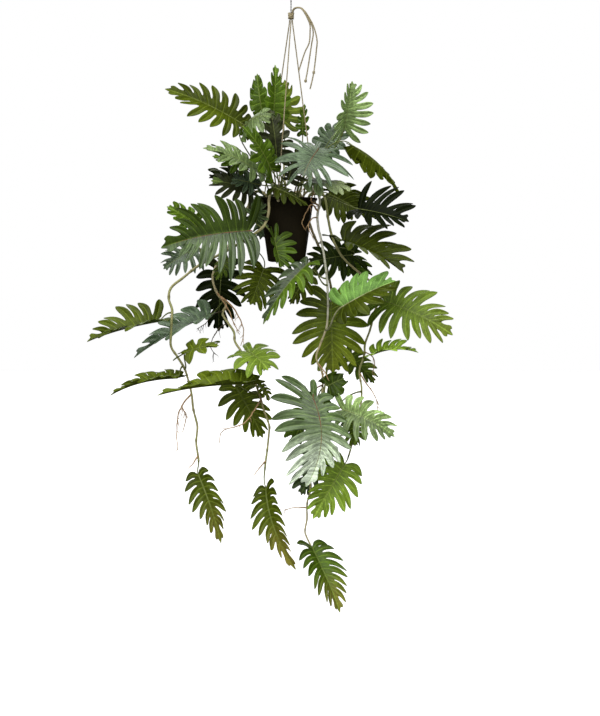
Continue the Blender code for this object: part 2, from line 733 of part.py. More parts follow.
def left_stem_leaves():
    leaf("left_leaf_38", ("stem_left", -552), (-89, -124, -538), (-281, -150, -572),
         (0, -0.9, 0.42), (176, 226), lobes=5, arch=0.07, fold=(14, 26), droop=0.24, first=106, last=58,
         taper=0.4, cut=0.24, end_cut=0.34, finish="green")
    leaf("left_leaf_45", ("stem_left", -524), (-35, -84, -559), (-22, -100, -618),
         (-0.1, -0.95, 0.25), 96, lobes=4, arch=0.03, fold=(4, 84), first=160, cut=0.4, finish="green")
    leaf("left_leaf_40", ("stem_left", -610), (-208, -10, -573), (-280, -24, -617),
         (-0.2, -0.9, 0.4), 88, lobes=4, fold=(10, 30), droop=0.25, finish="silver")
    leaf("left_leaf_30", ("stem_left", -715), (-293, -62, -735), (-444, -92, -777),
         (0.1, -0.85, 0.5), 150, lobes=4, arch=0.05, fold=(72, 4), first=118, taper=0.5, cut=0.3,
         end_cut=0.44, finish="olive")
    leaf("left_leaf_33", ("stem_left", -832), (-249, -60, -858), (-394, -84, -892),
         (-0.05, -0.75, 0.65), 78, lobes=4, arch=0.08, fold=(74, 12), droop=0.3, taper=0.4, cut=0.5,
         finish="olive")
    leaf("left_leaf_28", ("stem_left", "end"), (-203, -56, -1068), (-152, -88, -1213),
         (0.25, -0.93, 0.25), 80, lobes=4, fold=(44, 14), droop=0.34, first=116, finish="olive")


def left_centre_stem_leaves():
    leaf("left_leaf_31", ("stem_left_centre", -690), (-178, 14, -719), (-346, 12, -812),
         (-0.1, -0.85, 0.5), 112, lobes=4, fold=(62, 4), droop=0.12, first=100, taper=0.35, cut=0.3,
         end_cut=0.42, finish="silver")
    leaf("left_leaf_43", ("stem_left_centre", -545), (-60, 42, -616), (-90, 16, -696),
         (0.2, -0.93, 0.1), 116, lobes=4, fold=(14, 10), first=104, finish="olive")
    leaf("left_leaf_44", ("stem_left_centre", -575), (-153, 66, -615), (-160, 64, -754),
         (-0.2, -0.95, 0.15), 120, lobes=4, cut=0.3, finish="dark")
    leaf("left_leaf_36", ("stem_left_centre", -812), (-92, -62, -801), (-50, -108, -840),
         (0.05, -0.75, 0.66), 112, lobes=3, arch=0.1, fold=(6, 10), droop=0.1, first=152, cut=0.42,
         finish="bright")
    leaf("left_leaf_34", ("stem_left_centre", -862), (-89, -76, -871), (-290, -124, -894),
         (-0.05, -0.85, 0.5), 90, lobes=4, fold=(74, 8), droop=0.08, taper=0.6, cut=0.72, finish="olive")
    leaf("left_leaf_35", ("stem_left_centre", -890), (-121, -2, -878), (-62, 2, -988),
         (0.15, -0.96, 0.2), 100, lobes=4, fold=(24, 8), finish="olive")
    leaf("left_leaf_29", ("stem_left_centre", "end"), (-55, -34, -1099), (11, -74, -1272),
         (0.3, -0.92, 0.25), 84, lobes=5, bow=-0.1, fold=(64, 10), droop=0.26, first=116, finish="olive")


def right_centre_stem_leaves():
    leaf("centre_leaf_46", ("stem_right_centre", -655), (37, -100, -609), (-60, -136, -734),
         (-0.35, -0.85, 0.4), (84, 84), lobes=4, arch=0.08, fold=(30, 24), droop=0.5, cut=0.3,
         finish="green")
    leaf("centre_leaf_47", ("stem_right_centre", -640), (39, -46, -624), (-2, -44, -696),
         (0.2, -0.9, 0.3), 62, lobes=3, finish="olive")
    leaf("centre_leaf_20", ("stem_right_centre", -690), (88, -22, -693), (92, -28, -847),
         (-0.05, -0.98, 0.15), 166, lobes=5, arch=0.05, fold=(8, 8), droop=0.06, first=134, cut=0.36,
         finish="olive")
    leaf("centre_leaf_18", ("stem_right_centre", -752), (111, -98, -703), (228, -116, -645),
         (0, -0.85, 0.5), 132, lobes=4, arch=0.05, fold=(4, 34), first=100, cut=0.45, finish="bright")
    leaf("centre_leaf_21", ("stem_right_centre", -874), (48, -102, -901), (33, -126, -1092),
         (-0.1, -0.9, 0.42), (130, 196), lobes=5, bow=0.14, fold=(10, 14), droop=0.12, first=150,
         end_cut=0.44, finish="green")
    leaf("centre_leaf_27", ("stem_right_centre", "end"), (46, -40, -1228), (107, -84, -1365),
         (0.1, -0.95, 0.28), 108, lobes=5, fold=(6, 46), droop=0.3, first=118, cut=0.3, finish="green")


def right_stem_leaves():
    leaf("right_leaf_16", ("stem_right", -545), (112, -38, -556), (246, -92, -627),
         (0.2, -0.85, 0.5), (188, 150), lobes=4, arch=0.08, fold=(6, 56), first=110, cut=0.34,
         finish="olive")
    leaf("right_leaf_17", ("stem_right", -575), (135, 48, -586), (37, 36, -604),
         (0, -0.93, 0.35), 112, lobes=4, finish="dark")
    leaf("right_leaf_19", ("stem_right", -684), (204, -38, -689), (353, -84, -762),
         (0.1, -0.9, 0.42), 150, lobes=5, arch=0.07, fold=(8, 18), cut=0.3, end_cut=0.42, finish="bright")
    leaf("right_leaf_48", ("stem_right", -812), (180, -60, -806), (278, -80, -801),
         (0, -0.75, 0.66), 84, lobes=4, arch=0.13, fold=(10, 56), first=108, taper=0.5, cut=0.3,
         finish="bright")
    leaf("right_leaf_23", ("stem_right", -888), (114, -72, -927), (226, -100, -984),
         (0.1, -0.85, 0.5), 104, lobes=4, arch=0.1, fold=(46, 8), finish="silver")
    leaf("right_leaf_25", ("stem_right", -985), (68, -6, -1016), (22, 0, -1115),
         (-0.2, -0.9, 0.35), 96, lobes=3, finish="green")
    leaf("right_leaf_24", ("stem_right", "end"), (118, -48, -1046), (48, -84, -1163),
         (0.1, -0.95, 0.2), 112, lobes=4, fold=(8, 14), first=112, cut=0.34, finish="bright")


def stems():
    stem("stem_left", roots=(
        (1.9, (-218, -46, -893), (-236, -50, -914), (-246, -52, -940), (-250, -50, -978),
         (-248, -50, -1014)),
        (2, (-203, -46, -1028), (-214, -48, -1044), (-224, -50, -1056)),
    ), small_leaves=(
        dict(height=-838, base=(-227, -74, -801), tip=(-157, -86, -786), face=(0, -0.45, 0.9), width=84,
             lobes=3, first=150),
        dict(height=-576, base=(-137, -80, -598), tip=(-163, -96, -644), face=(0.1, -0.9, 0.3), width=46,
             lobes=3),
        dict(height=-530, base=(-76, -70, -517), tip=(-63, -86, -474), face=(-0.2, -0.85, 0.4), width=60,
             lobes=3),
        dict(height=-450, base=(-38, -90, -442), tip=(38, -108, -482), face=(0.1, -0.8, 0.6),
             width=(26, 60), lobes=3, first=104),
    ))
    stem("stem_left_centre", roots=(
        (2, (-160, -10, -676), (-130, -26, -700), (-112, -30, -728), (-104, -30, -756),
         (-110, -28, -786)),
        (2, (-66, -20, -905), (-84, -70, -934), (-106, -96, -958), (-148, -84, -972), (-156, -76, -1000)),
    ), small_leaves=(
        dict(height=-866, base=(-70, -44, -871), tip=(-48, -54, -908), face=(0.6, -0.6, 0.5), width=40,
             lobes=3),
    ))
    stem("stem_right_centre", roots=(
        (2, (60, -56, -494), (46, -76, -480), (34, -84, -494), (24, -84, -520), (30, -84, -534)),
        (1.9, (60, -54, -480), (44, -80, -470), (52, -90, -448), (38, -96, -440), (22, -98, -452)),
    ), small_leaves=(
        dict(height=-858, base=(81, -56, -875), tip=(116, -62, -858), face=(0, -0.9, 0.3), width=56,
             lobes=3, first=100, cut=0.75),
    ))
    stem("stem_right", small_leaves=(
        dict(height=-940, base=(134, -48, -952), tip=(140, -66, -1006), face=(0.3, -0.9, 0.2), width=66,
             lobes=3),
    ))
    stem("shoot_front", small_leaves=(
        dict(height=-432, base=(-31, -24, -375), tip=(-46, -18, -265), face=(0.3, -0.95, 0), width=80,
             lobes=3),
        dict(height=-440, base=(-98, -50, -400), tip=(-172, -66, -372), face=(0, -0.8, 0.6), width=60,
             lobes=3),
        dict(height=-434, base=(-78, -66, -434), tip=(-130, -70, -424), face=(0, -0.85, 0.5), width=60,
             lobes=3),
        dict(height=-436, base=(-6, -54, -424), tip=(14, -50, -352), face=(0, -0.95, 0.2), width=(30, 84),
             lobes=3, first=104),
    ))
    stem("stem_back", small_leaves=(
        dict(height=-560, base=(110, 114, -580), tip=(168, 164, -640), face=(0.2, 0.7, 0.7), width=92,
             lobes=3),
        dict(height=-780, base=(124, 100, -806), tip=(186, 132, -870), face=(0.3, 0.8, 0.5), width=80,
             lobes=3),
        dict(height=-880, base=(54, 96, -912), tip=(0, 134, -1010), face=(-0.1, 0.9, 0.4), width=96,
             lobes=3),
    ))
    stem("shoot_back_left", small_leaves=(
        dict(height=-372, base=(-78, 112, -330), tip=(-150, 190, -268), face=(0.1, 0.6, 0.8), width=104,
             lobes=3),
        dict(height=-405, base=(-100, 88, -424), tip=(-184, 150, -410), face=(-0.1, 0.55, 0.83),
             width=100, lobes=3),
    ))
    stem("shoot_back_middle", small_leaves=(
        dict(height=-362, base=(-16, 96, -292), tip=(-14, 150, -190), face=(0.1, 0.85, 0.4), width=92,
             lobes=3),
        dict(height=-405, base=(-34, 116, -462), tip=(-70, 200, -546), face=(-0.1, 0.75, 0.65), width=108,
             lobes=3),
    ))
    stem("shoot_back_right", small_leaves=(
        dict(height=-372, base=(68, 108, -330), tip=(140, 182, -292), face=(0, 0.6, 0.8), width=104,
             lobes=3),
        dict(height=-405, base=(92, 92, -440), tip=(190, 156, -502), face=(0.1, 0.55, 0.83), width=104,
             lobes=3),
        dict(height=-380, base=(26, 34, -318), tip=(30, 26, -252), face=(-0.3, -0.9, 0.1), width=34,
             lobes=3),
    ))


clear_scene()
PLANT = new_collection("philodendron")
STEM_HOLES = []
hanging_wire()
knot()
hanger_cords()
tails()
pot()
crown_leaves()
left_stem_leaves()
left_centre_stem_leaves()
right_centre_stem_leaves()
right_stem_leaves()
stems()
filling()
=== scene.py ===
import math
import random

import bmesh
import bpy
from mathutils import Matrix, Vector, noise


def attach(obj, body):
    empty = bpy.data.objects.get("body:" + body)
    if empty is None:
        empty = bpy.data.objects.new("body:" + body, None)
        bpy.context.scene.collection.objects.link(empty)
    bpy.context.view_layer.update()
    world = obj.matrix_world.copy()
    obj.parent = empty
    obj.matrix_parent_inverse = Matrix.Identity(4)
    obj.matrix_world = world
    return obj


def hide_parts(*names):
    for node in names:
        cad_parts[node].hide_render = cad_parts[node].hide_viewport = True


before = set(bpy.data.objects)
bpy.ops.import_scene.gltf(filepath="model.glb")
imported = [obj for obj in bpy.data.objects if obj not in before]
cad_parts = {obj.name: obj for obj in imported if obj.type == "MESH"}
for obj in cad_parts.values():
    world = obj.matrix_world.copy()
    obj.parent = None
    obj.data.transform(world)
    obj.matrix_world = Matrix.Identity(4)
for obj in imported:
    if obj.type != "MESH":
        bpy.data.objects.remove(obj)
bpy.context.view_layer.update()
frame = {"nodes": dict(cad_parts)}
mm = 0.001  # the dictionaries hold millimetres from the hook's seat in the wire eye
noise.seed_set(7)  # without a seed, vector noise differs from run to run
print("frame loaded with", len(frame["nodes"]), "nodes")

# camera, straight in front of the plant at the height of its middle
cameraSet = dict(x=19.8, height=-814.0, away=9000.0, tall=1575.2, sensor=36.0)


def placeCamera(choice):
    data = bpy.data.cameras.new("camera")
    data.sensor_fit = "VERTICAL"
    data.sensor_height = choice["sensor"]
    data.lens = choice["sensor"] * choice["away"] / choice["tall"]
    data.clip_end = 700.0
    made = bpy.data.objects.new("camera", data)
    made.location = Vector((choice["x"], -choice["away"], choice["height"])) * mm
    made.rotation_euler = (math.radians(90.0), 0.0, 0.0)
    bpy.context.scene.collection.objects.link(made)
    bpy.context.scene.camera = made


placeCamera(cameraSet)
print("camera placed")


# values and finishes of the shader nodes
class Value:
    def __init__(self, finish, socket):
        self.finish = finish
        self.socket = socket

    def maths(self, operation, *others):
        inputs = dict(enumerate((self, *others)))
        return self.finish.node("ShaderNodeMath", dict(operation=operation), inputs)

    def __add__(self, other):
        return self.maths("ADD", other)

    def __mul__(self, other):
        return self.maths("MULTIPLY", other)

    def __rpow__(self, base):
        return self.finish.node("ShaderNodeMath", dict(operation="POWER"), {0: base, 1: self})

    __radd__, __rmul__ = __add__, __mul__

    def out(self, name):
        return Value(self.finish, self.socket.node.outputs[name])

    def fade(self, low, high, start=0.0, end=1.0):  # smooth step from start at low to end at high
        settings = dict(interpolation_type="SMOOTHSTEP", clamp=True)
        inputs = {0: self, "From Min": low, "From Max": high, "To Min": start, "To Max": end}
        return self.finish.node("ShaderNodeMapRange", settings, inputs)


class Finish:
    def __init__(self, name, constants):
        self.material = bpy.data.materials.new(name)
        self.material.use_nodes = True
        self.tree = self.material.node_tree
        self.shader = self.tree.nodes["Principled BSDF"]
        for key, value in constants.items():
            self.feed(self.shader.inputs[key], value)

    def feed(self, socket, value):
        if isinstance(value, Value):
            self.tree.links.new(value.socket, socket)
        elif socket.type == "RGBA":
            socket.default_value = (*value, 1.0)
        else:
            socket.default_value = value

    def node(self, kind, settings=None, inputs=None, take=0):
        made = self.tree.nodes.new(kind)
        for key, value in (settings or {}).items():
            setattr(made, key, value)
        for key, value in (inputs or {}).items():
            self.feed(made.inputs[key], value)
        return Value(self, made.outputs[take])

    def uv(self, name):
        flow = self.node("ShaderNodeUVMap", dict(uv_map=name))
        parts = self.node("ShaderNodeSeparateXYZ", None, {0: flow})
        return parts, parts.out("Y")

    def attribute(self, name):
        return self.node("ShaderNodeAttribute", dict(attribute_name=name)).out("Fac")

    def place(self, stretch=(1.0, 1.0, 1.0)):
        seen = self.node("ShaderNodeTexCoord").out("Object")
        return self.node("ShaderNodeMapping", None, {"Vector": seen, "Scale": stretch})

    def grain(self, place, scale, detail=3.0, roughness=0.55):
        inputs = {"Vector": place, "Scale": scale, "Detail": detail, "Roughness": roughness}
        return self.node("ShaderNodeTexNoise", None, inputs)

    def mix(self, share, first, second, blend="MIX"):
        settings = dict(data_type="RGBA", blend_type=blend)
        return self.node("ShaderNodeMix", settings, {0: share, 6: first, 7: second}, take=2)

    def colour(self, under, *over):  # colours laid over one another, each pair a mask and its colour
        for mask, tint in over:
            under = self.mix(mask, under, tint)
        self.feed(self.shader.inputs["Base Color"], under)

    def rough(self, value):
        self.feed(self.shader.inputs["Roughness"], value)

    def bump(self, height, distance, strength=1.0):
        inputs = {"Height": height, "Distance": distance, "Strength": strength}
        self.feed(self.shader.inputs["Normal"], self.node("ShaderNodeBump", None, inputs))


finishes = {}

# the leaf cloth: its colour, how glossy and how rough it is, and how far its veins show
tints = {
    # black and dark: painted shade, the green cloth darkened for leaves deep in the plant's shadow
    "black": dict(colour=(0.013, 0.022, 0.003), gloss=0.06, roughness=0.38, veins=0.14, foot=0.3),
    "dark": dict(colour=(0.030, 0.050, 0.006), gloss=0.12, roughness=0.38, veins=0.24, foot=0.5),
    "green": dict(colour=(0.115, 0.205, 0.014), gloss=0.20, roughness=0.37, veins=0.45, foot=0.7),
    "olive": dict(colour=(0.146, 0.200, 0.010), gloss=0.17, roughness=0.38, veins=0.42, foot=0.75),
    "bright": dict(colour=(0.210, 0.325, 0.030), gloss=0.22, roughness=0.40, veins=0.45, foot=0.3),
    "emerald": dict(colour=(0.265, 0.530, 0.105), gloss=0.20, roughness=0.44, veins=0.40, foot=0.1),
    # jade's pale tip colour is a painted highlight, the gloss towards a leaf's tip
    "jade": dict(colour=(0.108, 0.172, 0.055), gloss=0.50, roughness=0.34, veins=0.30, foot=0.35,
                 tip=(0.66, 0.76, 0.58)),
    "blue": dict(colour=(0.125, 0.195, 0.100), gloss=0.45, roughness=0.35, veins=0.25, foot=0.3),
    "sage": dict(colour=(0.240, 0.345, 0.118), gloss=0.45, roughness=0.36, veins=0.32, foot=0.25,
                 tip=(0.80, 0.96, 0.46)),
    "silver": dict(colour=(0.165, 0.250, 0.128), gloss=0.55, roughness=0.33, veins=0.26, foot=0.15),
}
tintSet = dict(deep=0.38, under=1.22, underBase=0.010, vein=1.7, veinBase=(0.085, 0.100, 0.020),
               tip=(0.345, 0.305, 0.052), toneBase=2.4, dull=0.8, shiny=1.1)


def leafFinish(name, tint, upper):
    finish = Finish(name, {"Specular IOR Level": tint["gloss"] * (1.0 if upper else 0.6)})
    across, out = finish.uv("flow")       # metres from the lobe's vein, and how far out along the lobe
    along, fromRib = finish.uv("blade")   # share of the length, and metres from the midrib
    tone = finish.attribute("tone")
    age = finish.attribute("age")
    cloudy = finish.grain(finish.place(), 38.0, 4.0, 0.6)
    fine = finish.grain(finish.place(), 420.0, 3.0, 0.6)
    face = tint["colour"]
    if not upper:
        face = tuple(part * tintSet["under"] + tintSet["underBase"] for part in face)
    shade = tuple(part * tintSet["deep"] for part in face)
    line = tuple(part * tintSet["vein"] + more for part, more in zip(face, tintSet["veinBase"]))
    cloth = finish.mix(cloudy.fade(0.30, 0.72, 0.55, 1.0), shade, face)
    ribFoldShade = fromRib.fade(0.0, 0.026, 0.55, 0.0)  # painted shade in the fold beside the midrib
    nearFoot = along.fade(0.0, 0.42, tint["foot"], 0.0)
    # mixes in the darker colour: painted shade by the midrib, and darker towards the leaf's base
    cloth = finish.mix(ribFoldShade.maths("MAXIMUM", nearFoot), cloth, shade)
    # towards the tip the cloth turns to the tint's tip colour as far as age says: a dry tip on most cloths,
    # a painted highlight on the jade cloth
    cloth = finish.mix(along.fade(0.30, 0.95) * age, cloth, tint.get("tip", tintSet["tip"]))
    side = across.maths("ABSOLUTE")
    vein = side.fade(0.0004, 0.0016, 1.0, 0.0) * out.fade(0.9, 2.0, 1.0, 0.30) * out.fade(0.0, 0.12)
    ribLine = fromRib.fade(0.0009, 0.0024, 0.8, 0.0)
    veins = vein.maths("MAXIMUM", ribLine) * tint["veins"] * (1.0 if upper else 1.3)
    cloth = finish.mix(veins, cloth, line)
    ridges = (out * 34.0 + side * 900.0).maths("SINE")
    flow = finish.node("ShaderNodeCombineXYZ", None, {0: across * 330.0, 1: out * 1.4, 2: along * 26.0})
    # painted highlight: lighter and darker streaks along each lobe, stronger on the glossier cloths
    dull, shiny = 1.0 - tint["gloss"] * tintSet["dull"], 1.0 + tint["gloss"] * tintSet["shiny"]
    paintedSheen = finish.grain(flow, 1.0, 3.0, 0.6).fade(0.34, 0.70, dull, shiny)
    lighter = tintSet["toneBase"] ** tone * paintedSheen * (1.0 + ridges * 0.05) * fine.fade(0.2, 0.8, 0.88, 1.12)
    grey = finish.node("ShaderNodeCombineColor", None, {0: lighter, 1: lighter, 2: lighter})
    finish.colour(finish.mix(1.0, cloth, grey, "MULTIPLY"))
    extra = 0.0 if upper else 0.12
    shine = cloudy.fade(0.3, 0.7, tint["roughness"] - 0.05 + extra, tint["roughness"] + 0.09 + extra)
    finish.rough(shine + veins * 0.1)
    finish.bump(vein * (-1.0 if upper else 1.0) + ridges * 0.12 + fine * 0.25, 0.0004, 0.6)
    return finish.material


stalkTints = {
    "pale": ((0.260, 0.300, 0.090), (0.150, 0.180, 0.045)),
    # dark: painted shade, for stalks deep in the crown's shadow
    "dark": ((0.060, 0.075, 0.022), (0.030, 0.036, 0.012)),
    "red": ((0.270, 0.090, 0.060), (0.150, 0.110, 0.050)),
    "cream": ((0.560, 0.560, 0.340), (0.360, 0.370, 0.170)),
}


def stalkFinish(name, colours):
    finish = Finish(name, {"Roughness": 0.5, "Specular IOR Level": 0.25})
    streaks = finish.grain(finish.place((1.0, 1.0, 0.35)), 260.0, 4.0)
    patches = finish.grain(finish.place(), 60.0, 3.0)
    finish.colour(colours[1], (patches.fade(0.4, 0.62), colours[0]),
                  (streaks.fade(0.45, 0.75, 0.0, 0.25), (0.070, 0.060, 0.025)))
    finish.bump(streaks, 0.0004, 0.6)
    return finish.material


# bark colours from the green young stem to the dry pale one, chosen along a stem by its tone
barkTints = dict(green=(0.470, 0.510, 0.185), tan=(0.700, 0.600, 0.330), cream=(0.800, 0.800, 0.640),
                 brown=(0.240, 0.160, 0.065), ring=(0.170, 0.135, 0.055))


def barkFinish(name, tint):
    finish = Finish(name, {"Roughness": 0.62, "Specular IOR Level": 0.25})
    tone = finish.attribute("tone")
    knuckle = finish.attribute("age")
    streaks = finish.grain(finish.place((1.0, 1.0, 0.22)), 300.0, 5.0, 0.62)
    patches = finish.grain(finish.place((1.0, 1.0, 0.6)), 42.0, 3.0)
    scuffs = finish.grain(finish.place(), 900.0, 2.0)
    finish.colour(tint["green"], (tone.fade(0.0, 0.5), tint["tan"]), (tone.fade(0.5, 1.0), tint["cream"]),
                  (patches.fade(0.50, 0.72, 0.0, 0.40), tint["brown"]),
                  (streaks.fade(0.48, 0.80, 0.0, 0.35), tint["brown"]), (knuckle * 0.55, tint["ring"]))
    finish.bump(streaks * 0.8 + scuffs * 0.25, 0.0007, 0.8)
    return finish.material


def rootFinish(name, pale, deep):
    finish = Finish(name, {"Roughness": 0.6, "Specular IOR Level": 0.35})
    streaks = finish.grain(finish.place((1.0, 1.0, 0.4)), 340.0, 4.0)
    finish.colour(deep, (streaks.fade(0.38, 0.68), pale))
    finish.bump(streaks, 0.0004, 0.6)
    return finish.material


# jute colours; the groove colour is painted shade in the hollows between the fibres
juteTints = dict(tan=(0.500, 0.410, 0.220), straw=(0.740, 0.640, 0.400), fibre=(0.840, 0.760, 0.540),
                 grooveShade=(0.260, 0.190, 0.090))


def juteFinish(name, tint):
    finish = Finish(name, {"Roughness": 0.85, "Specular IOR Level": 0.2})
    turn, length = finish.uv("flow")
    fibres = finish.grain(finish.place(), 1500.0, 3.0, 0.7)
    patches = finish.grain(finish.place(), 70.0, 3.0)
    # painted shade in the grooves between the fibres
    hairs = (turn * 40.0 + length * 5200.0).maths("SINE")
    finish.colour(tint["tan"], (patches.fade(0.35, 0.70), tint["straw"]),
                  (fibres.fade(0.35, 0.70, 0.0, 0.6), tint["fibre"]),
                  (hairs.fade(-1.0, 1.0, 0.35, 0.0), tint["grooveShade"]))
    finish.bump(fibres + hairs * 0.4, 0.0003, 0.8)
    return finish.material


def wireFinish(name, deep, pale):
    finish = Finish(name, {"Metallic": 0.9})
    zinc = finish.grain(finish.place(), 700.0, 3.0)
    finish.colour(deep, (zinc.fade(0.35, 0.7), pale))
    finish.rough(zinc.fade(0.3, 0.7, 0.32, 0.5))
    finish.bump(zinc, 0.0001, 0.5)
    return finish.material


def potFinish(name, deep, dust):
    finish = Finish(name, {"Specular IOR Level": 0.10})
    moulded = finish.grain(finish.place(), 900.0, 2.0)
    dusty = finish.grain(finish.place((1.0, 1.0, 0.5)), 22.0, 4.0, 0.6)
    height = finish.node("ShaderNodeSeparateXYZ", None, {0: finish.place()}).out("Z")
    finish.colour(deep, (dusty.fade(0.45, 0.75, 0.0, 0.7), dust))
    finish.rough(dusty.fade(0.3, 0.7, 0.6, 0.78))
    finish.bump(moulded * 0.3 + (height * 2600.0).maths("SINE") * 0.12, 0.0003, 0.6)
    return finish.material


peatTints = dict(wet=(0.020, 0.012, 0.007), dry=(0.060, 0.038, 0.022), bark=(0.130, 0.085, 0.045))


def peatFinish(name, tint):
    finish = Finish(name, {"Roughness": 0.9, "Specular IOR Level": 0.15})
    crumbs = finish.node("ShaderNodeTexVoronoi", None, {"Vector": finish.place(), "Scale": 260.0})
    damp = finish.grain(finish.place(), 55.0, 4.0)
    tone = finish.attribute("tone")
    finish.colour(tint["wet"], (damp.fade(0.4, 0.65), tint["dry"]),
                  (tone.fade(0.0, 1.0, 0.0, 0.8), tint["bark"]))
    finish.bump(crumbs + damp * 0.6, 0.0012, 0.9)
    return finish.material


for tintName, tint in tints.items():
    finishes[tintName] = leafFinish("leaf cloth " + tintName, tint, True)
    finishes[tintName + " under"] = leafFinish("leaf back " + tintName, tint, False)
for stalkName, colours in stalkTints.items():
    finishes[stalkName] = stalkFinish("stalk " + stalkName, colours)
finishes["bark"] = barkFinish("stem bark", barkTints)
finishes["root"] = rootFinish("aerial root", (0.740, 0.520, 0.290), (0.520, 0.300, 0.130))
finishes["twig"] = rootFinish("dry twig", (0.110, 0.085, 0.045), (0.045, 0.034, 0.018))
finishes["jute"] = juteFinish("jute yarn", juteTints)
finishes["wire"] = wireFinish("galvanised wire", (0.235, 0.230, 0.220), (0.420, 0.410, 0.400))
finishes["pot"] = potFinish("pot plastic", (0.0215, 0.0165, 0.0080), (0.034, 0.026, 0.013))
finishes["peat"] = peatFinish("peat filling", peatTints)
print("finishes made:", len(finishes))


# curves and tubes
def smoothRoute(places, step):
    places = [Vector(place) for place in places]
    route = []
    for index in range(len(places) - 1):
        start, end = places[index], places[index + 1]
        before = places[max(index - 1, 0)]
        after = places[min(index + 2, len(places) - 1)]
        count = max(1, round((end - start).length / step))
        pullIn, pullOut = (end - before) * 0.5, (after - start) * 0.5
        for part in range(count):
            t = part / count
            route.append(start * (2 * t**3 - 3 * t**2 + 1) + pullIn * (t**3 - 2 * t**2 + t)
                         + end * (3 * t**2 - 2 * t**3) + pullOut * (t**3 - t**2))
    route.append(places[-1])
    return route


def distances(route):  # how far along the route each of its points lies
    made = [0.0]
    for first, second in zip(route, route[1:]):
        made.append(made[-1] + (second - first).length)
    return made


def resampled(route, step):  # the same line with points a step apart
    lengths = distances(route)
    count = max(2, round(lengths[-1] / step))
    made, index = [], 0
    for part in range(count + 1):
        wanted = lengths[-1] * part / count
        while index < len(route) - 2 and lengths[index + 1] < wanted:
            index += 1
        span = max(lengths[index + 1] - lengths[index], 1e-9)
        made.append(route[index].lerp(route[index + 1], min(1.0, (wanted - lengths[index]) / span)))
    return made


def framesAlong(route):  # direction and two cross directions at each point, without twist
    frames = []
    normal = None
    for index, here in enumerate(route):
        before, after = route[max(index - 1, 0)], route[min(index + 1, len(route) - 1)]
        along = (after - before).normalized()
        if normal is None:
            normal = along.cross(Vector((0.3, -1.0, 0.2))).normalized()
        normal = (normal - along * normal.dot(along)).normalized()
        frames.append((along, normal, along.cross(normal)))
    return frames


def outward(frame, turn):  # a direction square to the route, turned round it
    return frame[1] * math.cos(turn) + frame[2] * math.sin(turn)


def ringPoint(turn, radius, height):  # a point on a level ring round the hook's upright
    return Vector((math.cos(turn) * radius, math.sin(turn) * radius, height))


def coil(radius, turns, heights, parts):  # points from one turn and height to another
    (start, end), (low, high) = turns, heights
    shares = [part / parts for part in range(parts + 1)]
    return [ringPoint(start + (end - start) * share, radius, low + (high - low) * share) for share in shares]


def curved(first, middle, last, share):  # a point on the curve from first to last that leans on middle
    return first.lerp(middle, share).lerp(middle.lerp(last, share), share)


def newMesh():
    bm = bmesh.new()
    for name in ("flow", "blade"):
        bm.loops.layers.uv.new(name)
    for name in ("tone", "age"):
        bm.verts.layers.float.new(name)
    return bm


def shapedGrid(bm, columns, rows, shape, material=0):
    # a grid bent by shape(column, row), which gives a place in millimetres, flow, blade, tone and age
    made = bmesh.ops.create_grid(bm, x_segments=columns, y_segments=rows, size=1.0)["verts"]
    flow, bladeMap = bm.loops.layers.uv["flow"], bm.loops.layers.uv["blade"]
    tone, age = bm.verts.layers.float["tone"], bm.verts.layers.float["age"]
    faces = set()
    maps = {}
    for vert in made:
        column = round((vert.co.x + 1.0) / 2.0 * columns)
        row = round((vert.co.y + 1.0) / 2.0 * rows)
        place, flowAt, bladeAt, vert[tone], vert[age] = shape(column, row)
        vert.co = place * mm
        maps[vert] = (flowAt, bladeAt)
        faces.update(vert.link_faces)
    for face in faces:
        face.material_index = material
        face.smooth = True
        for loop in face.loops:
            loop[flow].uv, loop[bladeMap].uv = maps[loop.vert]
    return made


def sweep(bm, route, radii, sides=8, material=0, tones=None, ages=None):
    # a closed tube along the route; radii, tones and ages have a value for each point
    frames = framesAlong(route)
    lengths = distances(route)

    def shape(column, row):
        turn = 2 * math.pi * column / sides
        place = route[row] + outward(frames[row], turn) * radii[row]
        flowAt = (column / sides, lengths[row] * mm)
        return place, flowAt, (0.0, 0.0), tones[row] if tones else 0.0, ages[row] if ages else 0.0

    made = shapedGrid(bm, sides, len(route) - 1, shape, material)
    bmesh.ops.remove_doubles(bm, verts=made, dist=0.000002)
    ends = [edge for vert in made if vert.is_valid for edge in vert.link_edges if edge.is_boundary]
    for cap in bmesh.ops.holes_fill(bm, edges=list(dict.fromkeys(ends)), sides=0)["faces"]:
        cap.material_index = material
        cap.smooth = True


def evaluated(thing):
    bpy.context.view_layer.update()
    seen = thing.evaluated_get(bpy.context.evaluated_depsgraph_get())
    return bpy.data.meshes.new_from_object(seen)


def placed(name, bm, materials=()):  # a mesh as an object at the origin
    mesh = bpy.data.meshes.new(name)
    bm.to_mesh(mesh)
    bm.free()
    for material in materials:
        mesh.materials.append(finishes[material])
    made = bpy.data.objects.new(name, mesh)
    bpy.context.scene.collection.objects.link(made)
    return made


def finished(name, bm, materials, nodes=(), turnOut=True):
    if turnOut:
        bmesh.ops.recalc_face_normals(bm, faces=bm.faces)
    made = placed(name, bm, materials)
    if nodes:
        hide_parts(*nodes)
    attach(made, "root")
    return made


